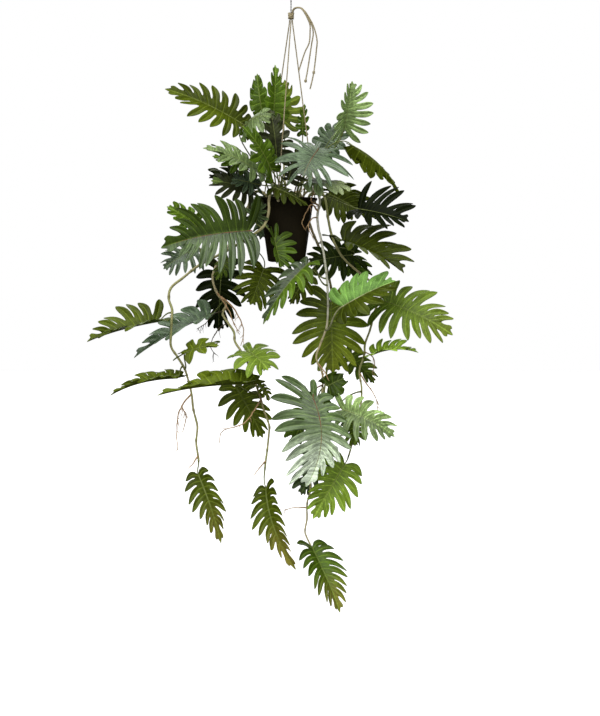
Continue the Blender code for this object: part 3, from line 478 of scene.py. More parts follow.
# the cords: three hanger cords from the knot to the pot's lip and the three loose tails
potSet = dict(x=-10.0, rim=-462.0, height=141.0, lipRadius=68.0, lip=3.0, topRadius=59.5, baseRadius=41.0,
              wall=2.2, holes=(140.0, 254.0, 14.0), holesAt=64.0, holeRadius=2.1, fillBelow=9.0)
cordSet = dict(knotTop=-54.0, knotHeight=16.0, radius=1.4, tailRadius=1.6, strands=3, pitch=9.0, step=0.9,
               knotPitch=7.5, knotStep=0.8, endKnot=4.0, tailKnot=3.4, hairs=0.35,
               starts=dict(left=(-3.2, 1.8), front=(0.0, -3.2), right=(3.2, 1.8)))
tailSet = {
    "short": dict(route=((3.1, -3.5, -53.7), (3.4, -3.6, -50), (7.2, -3.9, -45), (17, -4, -43.4),
                         (27, -4, -50.5), (40.5, -4.4, -77), (42, -4.8, -95), (40, -5.2, -121),
                         (30, -5.6, -143), (17, -6, -183)), knot=None),
    "middle": dict(route=((4.7, 0, -53.7), (5, 0, -50), (8.4, 0, -45.4), (18, 0, -43.6), (28.5, 0, -50.5),
                          (44, 0, -78), (49, -0.2, -99), (45, -0.4, -126), (37, -0.8, -178),
                          (32, -1, -205)), knot=(32, -1, -205)),
    "long": dict(route=((3.1, 3.5, -53.7), (3.4, 3.6, -50), (7.2, 3.9, -44.4), (17.5, 4, -42.2),
                        (29.5, 4, -49.5), (48, 4.6, -80), (57, 5.2, -112), (56, 5.2, -136),
                        (50, 4.8, -186), (42, 4.4, -222)), knot=(50, 4.8, -186)),
}


def twisted(bm, route, radius, pitch, step):
    # strands laid round each other along the route
    route = resampled(route, step)
    frames = framesAlong(route)
    for strand in range(cordSet["strands"]):
        line = []
        radii = []
        for index, (here, frame) in enumerate(zip(route, frames)):
            turn = 2 * math.pi * (index * step / pitch + strand / cordSet["strands"])
            line.append(here + outward(frame, turn) * radius * 0.5)
            worn = noise.noise(here * 0.35 + Vector((strand * 7.0, 0.0, 0.0)))
            radii.append(radius * (0.52 + 0.05 * worn))
        sweep(bm, line, radii, sides=6)


def strayHairs(bm, route, radius, perMm, seed):
    chance = random.Random(seed)
    route = resampled(route, 2.0)
    frames = framesAlong(route)
    for count in range(round(len(route) * 2.0 * perMm)):
        index = chance.randrange(1, len(route) - 1)
        out = outward(frames[index], chance.uniform(0.0, 2 * math.pi))
        start = route[index] + out * radius * 0.8
        lean = frames[index][0] * chance.choice((-1.0, 1.0)) * chance.uniform(0.8, 2.2)
        reach = chance.uniform(0.5, 1.6)
        tip = start + (out * 0.5 + lean) * reach
        middle = start.lerp(tip, 0.5) + out * reach * 0.25
        sweep(bm, [start, middle, tip], (0.07, 0.06, 0.03), sides=3)


def knotted(bm, line, radius):  # cord as it lies in a knot, laid tighter
    twisted(bm, line, radius, cordSet["knotPitch"], cordSet["knotStep"])


def windings(bm, centre, radius, cordRadius, turns, climb, tilt=0.0):
    # a cord wound round an upright axis, climb millimetres a turn
    line = []
    for part in range(int(turns * 20) + 1):
        turn = 2 * math.pi * part / 20
        line.append(Vector(centre) + ringPoint(turn, radius, climb * part / 20 + math.cos(turn) * tilt))
    knotted(bm, line, cordRadius)


def smallKnot(name, place, radius):
    # a stopper knot: two turns of the cord with a third laid over them
    bm = newMesh()
    cordRadius = radius * 0.42
    around = radius - cordRadius
    windings(bm, Vector(place) - Vector((0, 0, cordRadius * 1.1)), around, cordRadius, 2.2, cordRadius * 1.5)
    loop = []
    for turn in (2 * math.pi * part / 24 for part in range(25)):
        across, aside, up = math.cos(turn) * 0.85, math.sin(turn) * 0.5, math.sin(turn) * 0.72
        loop.append(Vector(place) + Vector((across * around, aside * around, up * radius)))
    knotted(bm, loop, cordRadius * 0.95)
    return finished(name, bm, ["jute"])


def holePlace(angle):
    turn = math.radians(angle)
    away = potSet["holesAt"]
    return Vector((potSet["x"] + away * math.cos(turn), away * math.sin(turn), 0.0))


def cordPiece(name, route, radius, node, knotAt, knotRadius, seed):
    bm = newMesh()
    twisted(bm, route, radius, cordSet["pitch"], cordSet["step"])
    strayHairs(bm, route, radius, cordSet["hairs"], seed)
    piece = finished(name, bm, ["jute"], [node])
    onIt = [smallKnot(name + "_stopper", knotAt, knotRadius)] if knotAt else []
    line = resampled(route, 2.0)
    tuple(route[0] * mm)
    distances(line)[-1] * mm
    [tuple(place * mm) for place in line]


def hangerCords():
    top = cordSet["knotTop"] - cordSet["knotHeight"] - 0.3
    for seed, ((side, start), angle) in enumerate(zip(cordSet["starts"].items(), potSet["holes"])):
        hole = holePlace(angle)
        knotAt = Vector((hole.x, hole.y, potSet["rim"] - potSet["lip"] - 0.3 - cordSet["endKnot"]))
        above = Vector((hole.x, hole.y, potSet["rim"] + 6.0))
        bend = Vector((*start, top - 5.0))
        route = [Vector((*start, top)), bend, *[bend.lerp(above, part / 8) for part in range(1, 9)], knotAt]
        cordPiece("cord_" + side, route, cordSet["radius"], "hanger_cord_" + side,
                  knotAt, cordSet["endKnot"], seed)


def tailCords():
    for seed, (name, choice) in enumerate(tailSet.items()):
        route = smoothRoute(choice["route"], 4.0)
        cordPiece("loose_end_" + name, route, cordSet["tailRadius"], "cord_tail_" + name,
                  choice["knot"], cordSet["tailKnot"], seed + 10)


hangerCords()
tailCords()
print("cords laid")


# the wire eye, doubled and twisted down into the knot
wireSet = dict(inner=8.0, thick=1.0, strand=0.8, twist=1.1, turns=3.5, below=6.5, end=0.65, endRing=2.1,
               endTurns=2.5)
# the knot: wound turns round a core, two cords laid slantwise over them, and a crown of cord on top
knotSet = dict(tall=14.0, radius=5.2, cord=1.65, turns=4.1, climb=3.0, tilt=0.35, over=6.0, overCord=1.5,
               backCord=1.45, crown=3.9, core=(2.2, 3.6, 4.4, 4.8, 4.6, 4.2, 3.4))


def hangingWire():
    bm = newMesh()
    ring = wireSet["inner"] + wireSet["thick"]
    loop = []
    for part in range(61):  # the eye closes on itself just above the twist
        turn = math.pi * (1.5 + 2 * part / 60)
        side = (part / 60 - 0.5) * 0.8 * wireSet["twist"]
        loop.append(Vector((math.cos(turn) * ring, side, math.sin(turn) * ring - wireSet["inner"])))
    sweep(bm, loop, [wireSet["thick"]] * len(loop), sides=12)
    top = -2 * wireSet["inner"] - 1.4
    bottom = cordSet["knotTop"] - wireSet["below"]
    for strand in range(2):
        line = []
        for share in (part / 72 for part in range(73)):
            turn = 2 * math.pi * wireSet["turns"] * share + math.pi * strand
            spread = wireSet["twist"] * (0.75 + 0.25 * math.cos(share * 6.0))
            line.append(ringPoint(turn, spread, top + (bottom - top) * share))
        sweep(bm, line, [wireSet["strand"]] * len(line), sides=8)
    # the wire's end is wound round the neck of the eye
    line = coil(wireSet["endRing"], (0.0, 2 * math.pi * wireSet["endTurns"]), (top + 0.6, top - 3.8), 48)
    sweep(bm, line, [wireSet["end"]] * len(line), sides=7)
    finished("wire_eye", bm, ["wire"], ["hanging_wire"])


def cordKnot():
    bm = newMesh()
    top, low = cordSet["knotTop"], cordSet["knotTop"] - knotSet["tall"]
    windings(bm, (0.0, 0.0, low), knotSet["radius"], knotSet["cord"], knotSet["turns"], knotSet["climb"],
             knotSet["tilt"])
    core = [Vector((0.0, 0.0, top - 1.0 - 14.6 * part / 6)) for part in range(7)]
    sweep(bm, core, knotSet["core"], sides=12)  # fills the middle, so no light shows through
    over = coil(knotSet["over"], (math.radians(-150.0), 0.0), (top - 13.0, top - 1.0), 28)
    knotted(bm, over, knotSet["overCord"])
    over = [Vector((-place.x * 0.95, place.y * 0.98 + 0.4, place.z)) for place in over[::-1]]
    knotted(bm, over, knotSet["backCord"])
    crown = coil(knotSet["crown"], (math.radians(-40.0), math.radians(210.0)), (top - 1.2, top - 1.2), 24)
    knotted(bm, crown, knotSet["overCord"])
    finished("binding_knot", bm, ["jute"], ["cord_knot"])


hangingWire()
cordKnot()
print("wire and knot made")


# the pot and its filling
fillSet = dict(heap=2.0, rings=22, gap=0.6, deep=41.0, chips=420, chipBent=(0.25, 0.25, 0.15),
               chipSizes=((2.0, 6.5), (1.2, 3.2), (0.6, 1.5)))


def spun(bm, profile, steps):
    # a profile of (radius, height) in millimetres turned about the pot's axis
    verts = [bm.verts.new(Vector((potSet["x"] + radius, 0.0, height)) * mm) for radius, height in profile]
    edges = [bm.edges.new(pair) for pair in zip(verts, verts[1:])]
    bmesh.ops.spin(bm, geom=verts + edges, cent=(potSet["x"] * mm, 0.0, 0.0), axis=(0.0, 0.0, 1.0),
                   angle=2 * math.pi, steps=steps, use_merge=True, use_duplicate=False)
    bmesh.ops.remove_doubles(bm, verts=bm.verts, dist=0.000005)
    for face in bm.faces:
        face.smooth = True


def rounded(corner, before, after, radius):
    # five points round a corner of a profile
    corner, before, after = Vector(corner), Vector(before), Vector(after)
    start = corner + (before - corner).normalized() * radius
    end = corner + (after - corner).normalized() * radius
    return [tuple(curved(start, corner, end, part / 4)) for part in range(5)]


def pot():
    rim, floor = potSet["rim"], potSet["rim"] - potSet["height"]
    lip, top, base = potSet["lipRadius"], potSet["topRadius"], potSet["baseRadius"]
    under, wall = rim - potSet["lip"], potSet["wall"]
    corners = [  # radius, height and rounding, from the floor's middle up the inside and down the outside
        (0.0, floor + 2.2, 0.0), (base - wall - 6.0, floor + 2.2, 4.0), (top - wall - 0.6, rim - 12.0, 2.0),
        (top - wall, rim, 0.9), (lip, rim, 1.1), (lip, under - 2.4, 0.7), (lip - 1.8, under - 2.4, 0.6),
        (lip - 2.2, under, 0.8), (top, under, 1.2), (top - 1.2, under - 16.0, 0.6),
        (top - 2.0, under - 17.2, 0.6), (base + 1.4, floor + 14.0, 1.0), (base, floor + 3.0, 2.4),
        (base - 7.0, floor, 2.0), (base - 10.0, floor + 1.6, 0.8), (0.0, floor + 1.6, 0.0)]
    profile = [corners[0][:2]]
    for before, corner, after in zip(corners, corners[1:], corners[2:]):
        profile += rounded(corner[:2], before[:2], after[:2], corner[2])
    profile.append(corners[-1][:2])
    bm = newMesh()
    spun(bm, profile, 120)
    shell = finished("pot_shell", bm, ["pot"], ["pot"])
    bm = bmesh.new()
    for angle in potSet["holes"]:
        hole = holePlace(angle) + Vector((0.0, 0.0, rim - 2.0))
        bmesh.ops.create_cone(bm, cap_ends=True, segments=24, radius1=potSet["holeRadius"] * mm,
                              radius2=potSet["holeRadius"] * mm, depth=12 * mm,
                              matrix=Matrix.Translation(hole * mm))
    cutter = placed("lip_holes", bm)
    cut = shell.modifiers.new("lip holes", "BOOLEAN")
    cut.object = cutter
    cut.operation = "DIFFERENCE"
    made = evaluated(shell)
    shell.modifiers.clear()
    shell.data = made
    shell.data.set_sharp_from_angle(angle=math.radians(50.0))
    bpy.data.objects.remove(cutter, do_unlink=True)


def filling():
    # crumbly peat with bark chips, heaped a little in the middle
    chance = random.Random(11)
    top, floor = potSet["rim"] - potSet["fillBelow"], potSet["rim"] - potSet["fillBelow"] - fillSet["deep"]
    heap, rings = fillSet["heap"], fillSet["rings"]
    reach = potSet["topRadius"] - potSet["wall"] - fillSet["gap"]
    profile = [(reach * part / rings, top + heap * (1 - (part / rings) ** 2)) for part in range(rings + 1)]
    profile += [(reach - 0.6, top - 6.0), (reach - 8.0, floor + 1.0), (0.0, floor)]
    bm = newMesh()
    spun(bm, profile, 96)
    tone = bm.verts.layers.float["tone"]
    for vert in bm.verts:
        place = vert.co / mm
        if place.z > top - 3.0 and (place - Vector((potSet["x"], 0.0, place.z))).length < reach - 1.0:
            rough = noise.noise(place * 0.16) * 1.6 + noise.noise(place * 0.5) * 0.9
            vert.co.z += (rough - 0.6) * mm
            vert[tone] = max(0.0, rough * 0.25)
    for count in range(fillSet["chips"]):
        away = reach * 0.96 * math.sqrt(chance.random())
        turn = chance.uniform(0.0, 2 * math.pi)
        place = Vector((potSet["x"] + away * math.cos(turn), away * math.sin(turn), 0.0))
        place.z = top + heap * (1 - (away / reach) ** 2) + chance.uniform(-0.8, 0.8)
        size = [chance.uniform(*limits) * mm for limits in fillSet["chipSizes"]]
        turns = zip("ZXY", (chance.uniform(0.0, 6.28), chance.gauss(0.0, 0.4), chance.gauss(0.0, 0.35)))
        matrix = Matrix.Translation(place * mm)
        for axis, angle in turns:
            matrix = matrix @ Matrix.Rotation(angle, 4, axis)
        matrix = matrix @ Matrix.Diagonal((*size, 1.0))
        chip = bmesh.ops.create_cube(bm, size=1.0, matrix=matrix)["verts"]
        shade = chance.random() ** 2
        for vert in chip:
            vert.co += Vector([chance.gauss(0.0, spread) for spread in fillSet["chipBent"]]) * mm
            vert[tone] = shade
    finished("peat", bm, ["peat"], ["filling"])


pot()
filling()
print("pot filled")


# leaves, each laid out flat from its base to its tip, then folded, arched and let droop
leafSet = dict(thickness=0.7, rootShare=0.70, rootPace=1.2, dome=0.15, endSag=0.35, petiole=1.7,
               petioleTip=1.15, ribRadius=1.0, ribShare=0.93, columns=8, tipColumns=8)
# what a leaf has unless its own line says otherwise; a pair is for the two halves, seen from the base
leafShape = dict(arch=0.06, bow=0.0, fold=(16.0, 12.0), droop=0.14, first=126.0, last=40.0, taper=0.25,
                 cut=0.32, endCut=0.50, slim=0.8, thick=1.0, rib="pale", age=0.0)
fingerRows = (0.0, 0.34, 0.68, 1.0, 1.03, 1.08, 1.18, 1.34, 1.52, 1.68, 1.80, 1.88, 1.94, 1.975, 1.993, 2.0)
tipRows = (0.0, 0.1, 0.2, 0.3, 0.4, 0.5, 0.6, 0.7, 0.79, 0.87, 0.93, 0.97, 1.0)


def polar(distance, degrees):
    return Vector((math.cos(math.radians(degrees)), math.sin(math.radians(degrees)))) * distance


def paired(value):  # a value for both halves, or one for each
    return value if isinstance(value, tuple) else (value, value)


class Blade:
    def __init__(self, choice):
        shape = dict(leafShape, **choice)
        self.base = Vector(shape["base"])
        chord = Vector(shape["tip"]) - self.base
        self.length = chord.length
        self.along = chord.normalized()
        self.side = Vector(shape["face"]).cross(self.along).normalized()
        self.up = self.along.cross(self.side)
        self.half = {side: wide / 2 for side, wide in zip((1, -1), paired(shape["width"]))}
        self.fold = {1: math.radians(shape["fold"][0]), -1: math.radians(shape["fold"][1])}
        for key in ("lobes", "arch", "bow", "droop", "first", "last", "taper", "cut", "slim"):
            setattr(self, key, shape[key])
        self.endCut = max(self.cut, shape["endCut"])
        self.phase = sum(self.base)

    def wave(self, lobe, side, pace):
        return math.sin(pace * lobe + 1.3 * side + self.phase)

    def angle(self, lobe):
        share = (lobe / (self.lobes - 1)) ** 0.8
        return self.first + (self.last - self.first) * share

    def reach(self, lobe, side):
        fullest = 0.72 + 0.38 * math.sin(math.pi * (lobe + 1) / (self.lobes + 1))  # longest halfway along
        return self.half[side] * fullest * (1.0 - self.taper * (lobe / (self.lobes - 1)) ** 2)

    def root(self, lobe):
        share = (lobe / self.lobes) ** leafSet["rootPace"]
        return Vector((leafSet["rootShare"] * self.length * share, 0.0))

    def sinus(self, cut, side):
        depth = self.cut + (self.endCut - self.cut) * (cut / self.lobes) ** 3
        if cut == 0:
            return polar(depth * self.reach(0, side), min(self.angle(0) + 22.0, 176.0))
        if cut == self.lobes:
            return self.root(cut) + polar(depth * self.reach(cut - 1, side), self.angle(cut - 1) - 8.0)
        reach = (self.reach(cut - 1, side) + self.reach(cut, side)) / 2
        return self.root(cut) + polar(depth * reach, (self.angle(cut - 1) + self.angle(cut)) / 2)

    def lobePoint(self, lobe, side, across, out):
        near, far = self.sinus(lobe, side), self.sinus(lobe + 1, side)
        if out <= 1.0:
            first = self.root(lobe).lerp(near, out)
            return first.lerp(self.root(lobe + 1).lerp(far, out), across)
        share = out - 1.0
        start = (near + far) / 2
        origin = (self.root(lobe) + self.root(lobe + 1)) / 2
        angle = self.angle(lobe) + 4.0 * self.wave(lobe, side, 3.7)  # no two lobes are quite alike
        reach = self.reach(lobe, side) * (1.0 + 0.07 * self.wave(lobe, side, 5.1))
        tip = origin + polar(reach, angle) + Vector((0.05 * self.length, 0.0))
        bend = start + polar((tip - start).length * 0.5, angle)
        centre = curved(start, bend, tip, share)
        body = self.slim * (1.0 + 0.26 * share) + (1.0 - self.slim) * math.exp(-share / 0.05)
        ending = max(0.0, share - 0.42) / 0.58  # the last part narrows to a rounded end
        narrow = max(0.0, 1.0 - ending**1.9) ** 0.72 * body
        return centre + (far - near) * (across - 0.5) * narrow

    def tipPoint(self, forward, out, side):
        # the end is broad, with a middle tooth and one at each corner
        corner = self.sinus(self.lobes, side)
        edge = self.root(self.lobes).lerp(corner, out)
        wide = 0.15 * self.half[side] + 0.03 * self.length
        waist = corner.y * (1.0 - 0.12 * math.sin(math.pi * min(1.0, forward * 1.4)))
        narrow = waist + (wide - waist) * min(1.0, forward * 1.2) ** 2
        teeth = 0.22 * out**2 + 0.18 * (0.5 - 0.5 * math.cos(2 * math.pi * out)) + 0.10 * out**6
        end = self.length - (self.length - edge.x) * teeth
        return Vector((edge.x + (end - edge.x) * forward, out * narrow * (1.0 - 0.12 * forward**8)))

    def relief(self, lobe, side, across, out, width):
        # cloth domes between the veins, and past the cuts each finger is creased, sways and rolls
        dome = 0.8 * min(1.0, out * 2.0) * (0.5 - 0.5 * math.cos(4 * math.pi * across))
        share = max(0.0, out - 1.0)
        ramp = min(1.0, share / 0.25)
        offset = (across - 0.5) * width
        crease = 0.34 * abs(offset) * ramp
        roll = 0.26 * self.wave(lobe, side, 2.9) * offset * ramp
        sway = share * self.half[side] * 0.14 * self.wave(lobe, side, 2.1)
        return dome * (1.0 - share * 0.6) + crease + roll + sway

    def bent(self, flat, side, lift):
        share = flat.x / self.length
        hump = 4.0 * share * (1.0 - share)
        normal = (self.up - self.along * self.arch * 4.0 * (1.0 - 2.0 * share)).normalized()
        fold = self.fold[side]
        channel = 0.5 * math.exp(-flat.y / 3.0)  # along the midrib
        height = flat.y * math.sin(fold) - leafSet["dome"] * flat.y**2 / self.half[side] + lift - channel
        place = self.base + self.along * flat.x + self.up * self.arch * self.length * hump
        place += self.side * (self.bow * self.length * hump + side * flat.y * math.cos(fold))
        past = max(0.0, flat.x - 0.5 * self.length)
        sag = self.droop * (flat.y**2 / self.half[side] + leafSet["endSag"] * past**2 / self.length)
        return place + normal * height - Vector((0.0, 0.0, sag))


def bladeHalf(bm, blade, side, tone, age, material):
    columns, tipColumns = leafSet["columns"], leafSet["tipColumns"]

    def mapsOf(flat, offset, out):
        return (offset * mm, out), (flat.x / blade.length, flat.y * mm), tone, age

    for lobe in range(blade.lobes):
        def finger(column, row, lobe=lobe):
            across, out = column / columns, fingerRows[row]
            flat = blade.lobePoint(lobe, side, across, out)
            edge = blade.lobePoint(lobe, side, 1.0, out) - blade.lobePoint(lobe, side, 0.0, out)
            place = blade.bent(flat, side, blade.relief(lobe, side, across, out, edge.length))
            return place, *mapsOf(flat, (across - 0.5) * edge.length, out)

        shapedGrid(bm, columns, len(fingerRows) - 1, finger, material)

    def ending(column, row):
        out, forward = column / tipColumns, tipRows[row]
        flat = blade.tipPoint(forward, out, side)
        dome = 0.5 * math.sin(math.pi * out) * (1.0 - forward)
        return blade.bent(flat, side, dome), *mapsOf(flat, 9.0, 1.1 + forward * 0.9)

    shapedGrid(bm, tipColumns, len(tipRows) - 1, ending, material)


def petioleRoute(start, lead, blade):
    length = (blade.base - start).length
    first = start + lead * length * 0.4
    second = blade.base - blade.along * length * 0.35
    shares = [part / 16 for part in range(17)]
    return [curved(start, first, second, share).lerp(curved(first, second, blade.base, share), share)
            for share in shares]


def leafPiece(name, choice, start, lead, tones, nodes=()):
    # the blade's two halves, their underside, and a petiole that runs on as the midrib
    blade = Blade(choice)
    shape = dict(leafShape, **choice)
    cloths, thick = paired(shape["tint"]), shape["thick"]
    materials = [kind for cloth in cloths for kind in (cloth, cloth + " under")] + [shape["rib"]]
    bm = newMesh()
    for side, tone, material in zip((1, -1), tones, (0, 2)):
        bladeHalf(bm, blade, side, tone, shape["age"], material)
    bmesh.ops.remove_doubles(bm, verts=bm.verts, dist=0.00001)
    bmesh.ops.recalc_face_normals(bm, faces=bm.faces)
    facing = sum((face.normal * face.calc_area() for face in bm.faces), Vector())
    if facing.dot(blade.up) < 0:
        bmesh.ops.reverse_faces(bm, faces=bm.faces)
    sheet = placed(name, bm, materials)
    shell = sheet.modifiers.new("cloth", "SOLIDIFY")
    shell.thickness = leafSet["thickness"] * mm
    shell.offset = 0.0
    shell.material_offset = 1
    bm = bmesh.new()
    bm.from_mesh(evaluated(sheet))
    bpy.data.objects.remove(sheet, do_unlink=True)
    route = petioleRoute(start, lead, blade)
    count = len(route) - 1
    radii = []
    for share in (index / count for index in range(count + 1)):
        swollen = 0.5 * math.exp(-share * 14.0) + 0.25 * math.exp(-((share - 0.97) * 16.0) ** 2)
        size = leafSet["petiole"] + (leafSet["petioleTip"] - leafSet["petiole"]) * share
        radii.append(size * thick * (1.0 + swollen))
    for part in range(1, 19):
        share = part / 18 * leafSet["ribShare"]
        route.append(blade.bent(Vector((share * blade.length, 0.0)), 1, 0.15))
        radii.append(thick * leafSet["ribRadius"] * (1.0 - share) ** 0.8 + 0.22)
    sweep(bm, route, radii, sides=8, material=4)
    return finished(name, bm, materials, nodes, turnOut=False)


# stems, each from its hole in the peat, over the lip and down; shades run from green 0 over tan to cream 1
stems = {
    "stem_left": dict(radius=3.4, shades=(0.3, 0.4, 0.2, 0.3, 0.15, 0.2, 0.3, 0.1), route=(
        (-36, -38, -466), (-37, -44, -453), (-41, -58, -446), (-45, -72, -453), (-48, -80, -472),
        (-48, -82, -495), (-57, -84, -524), (-76, -82, -541), (-134, -64, -576), (-205, -52, -614),
        (-235, -52, -638), (-261, -56, -660), (-267, -60, -684), (-260, -62, -708),
        (-262, -62, -761), (-262, -58, -788), (-233, -48, -838), (-218, -46, -891),
        (-213, -46, -928), (-205, -48, -961), (-207, -46, -1003), (-202, -46, -1040))),
    "stem_left_centre": dict(radius=3.2, shades=(0.3, 0.6, 0.8, 0.5, 0.15, 0.45, 0.3, 0.1), route=(
        (-54, 12, -466), (-58, 13, -453), (-70, 16, -446), (-84, 20, -453), (-92, 24, -474),
        (-110, 22, -520), (-140, 14, -570), (-168, 2, -618), (-172, -4, -642), (-162, -10, -673),
        (-143, -14, -697), (-150, -14, -717), (-125, -16, -757), (-123, -17, -777),
        (-99, -20, -816), (-78, -20, -867), (-60, -20, -926), (-48, -22, -961),
        (-51, -24, -1003), (-57, -24, -1056))),
    "stem_right_centre": dict(radius=2.8, shades=(0.4, 0.8, 1.0, 1.0, 0.9, 0.45, 0.3, 0.3, 0.2, 0.6, 0.3),
                              route=(
        (26, -30, -466), (31, -34, -453), (45, -44, -446), (58, -52, -453), (63, -56, -472),
        (58, -58, -502), (60, -60, -530), (70, -60, -576), (79, -60, -645), (81, -60, -702),
        (77, -60, -750), (64, -58, -785), (55, -56, -814), (68, -50, -845), (68, -46, -891),
        (56, -40, -940), (44, -38, -994), (42, -38, -1050), (42, -38, -1107), (35, -38, -1133),
        (35, -38, -1168), (31, -38, -1197), (44, -38, -1226))),
    "stem_right": dict(radius=2.9, shades=(0.25, 0.1, 0.2, 0.6, 0.3, 0.2, 0.2, 0.15), route=(
        (38, 8, -466), (43, 8, -453), (56, 4, -446), (70, 0, -453), (77, -4, -474),
        (82, -8, -510), (92, -8, -552), (112, 0, -590), (150, 6, -626), (184, 0, -652),
        (199, -8, -676), (186, -15, -706), (174, -18, -750), (163, -18, -783), (161, -18, -807),
        (150, -18, -840), (155, -18, -880), (152, -20, -930), (140, -24, -980), (126, -28, -1030))),
    "stem_back": dict(radius=3.2, shades=(0.3, 0.5, 0.4, 0.2, 0.1), route=(
        (8, 40, -466), (9, 46, -453), (14, 62, -446), (21, 76, -453), (28, 84, -478),
        (50, 88, -540), (78, 88, -610), (92, 86, -690), (88, 84, -770), (78, 80, -850),
        (70, 76, -920))),
    "shoot_front": dict(radius=2.8, shades=(0.2, 0.1), route=(
        (-8, -26, -466), (-9, -30, -458), (-11, -38, -446), (-12, -44, -430))),
    "shoot_back_left": dict(radius=2.8, shades=(0.2, 0.1), route=(
        (-34, 24, -466), (-38, 30, -440), (-46, 46, -400), (-52, 60, -370))),
    "shoot_back_middle": dict(radius=2.8, shades=(0.2, 0.1), route=(
        (-12, 34, -466), (-13, 40, -440), (-15, 54, -400), (-16, 66, -360))),
    "shoot_back_right": dict(radius=2.8, shades=(0.2, 0.1), route=(
        (18, 26, -466), (22, 32, -440), (32, 46, -400), (42, 60, -370))),
}
stemSet = dict(step=26.0, fine=3.0, taper=0.66, knuckleEvery=(48.0, 80.0), knuckle=0.20, wander=0.7,
               dent=0.35)

# air roots by the stem they leave: how thick, how far they fork and where they run
airRoots = {
    "stem_left": (
        dict(thick=1.9, forks=1.0, route=((-218, -46, -893), (-236, -50, -914), (-246, -52, -940),
                                          (-250, -50, -978), (-248, -50, -1014))),
        dict(thick=1.5, forks=0.8, route=((-240, -50, -918), (-230, -44, -945), (-238, -42, -976))),
        dict(thick=2.0, forks=0.0, route=((-203, -46, -1028), (-214, -48, -1044), (-224, -50, -1056))),),
    "stem_left_centre": (
        dict(thick=2.0, forks=0.7, route=((-160, -10, -676), (-130, -26, -700), (-112, -30, -728),
                                          (-104, -30, -756), (-110, -28, -786))),
        dict(thick=1.8, forks=0.7, route=((-164, -9, -668), (-138, -30, -706), (-124, -34, -742),
                                          (-112, -34, -762))),
        dict(thick=2.0, forks=0.5, route=((-66, -20, -905), (-84, -70, -934), (-106, -96, -958),
                                          (-148, -84, -972), (-156, -76, -1000))),
        dict(thick=1.6, forks=0.0, route=((-55, -26, -1040), (-70, -30, -1056), (-82, -34, -1074))),),
    "stem_right_centre": (
        dict(thick=2.0, forks=0.3, route=((60, -56, -494), (46, -76, -480), (34, -84, -494),
                                          (24, -84, -520), (30, -84, -534))),
        dict(thick=1.9, forks=0.3, route=((60, -54, -480), (44, -80, -470), (52, -90, -448),
                                          (38, -96, -440), (22, -98, -452))),
        dict(thick=1.5, forks=0.6, route=((58, -58, -506), (44, -80, -512), (38, -84, -530),
                                          (46, -82, -548))),
        dict(thick=1.4, forks=0.8, route=((34, -38, -1142), (6, -40, -1142), (-16, -42, -1148))),
        dict(thick=1.4, forks=0.6, route=((60, -54, -826), (76, -58, -848), (84, -60, -864))),),
    "stem_right": (
        dict(thick=1.5, forks=0.8, route=((150, -18, -845), (166, -24, -872), (184, -26, -896),
                                          (190, -24, -926))),
        dict(thick=1.3, forks=0.6, route=((161, -18, -800), (180, -26, -812), (184, -26, -830),
                                          (178, -24, -846))),),
}
dryTwigs = (  # on the stem left of the centre
    dict(thick=1.2, forks=1.0, route=((-148, -14, -712), (-170, -24, -718), (-186, -28, -736),
                                      (-206, -30, -752))),
    dict(thick=1.2, forks=1.0, route=((-137, -15, -738), (-160, -26, -752), (-176, -28, -784),
                                      (-166, -28, -806))))
rootSet = dict(step=3.0, wander=1.8, tip=0.7, swell=1.2, branchEvery=13.0, branchLength=(9.0, 26.0),
               branchRadius=0.8)


def vineRoute(name):
    route = smoothRoute(stems[name]["route"], stemSet["step"])
    foot = Vector((route[0].x, route[0].y, potSet["rim"] - potSet["fillBelow"] - 30.0 + 0.3))
    return [foot, *route]


def onVine(name, height):
    # place, direction and radius where the stem last passes this height, or at its end
    route = vineRoute(name)
    radius = stems[name]["radius"]
    if height == "end":
        return route[-1], (route[-1] - route[-2]).normalized(), radius * stemSet["taper"]
    for index in range(len(route) - 2, -1, -1):
        first, second = route[index], route[index + 1]
        if min(first.z, second.z) <= height <= max(first.z, second.z):
            share = (first.z - height) / (first.z - second.z)
            here = radius * (1.0 + (stemSet["taper"] - 1.0) * (index + share) / (len(route) - 1))
            return first.lerp(second, share), (second - first).normalized(), here
    raise ValueError(name + " has no such height")


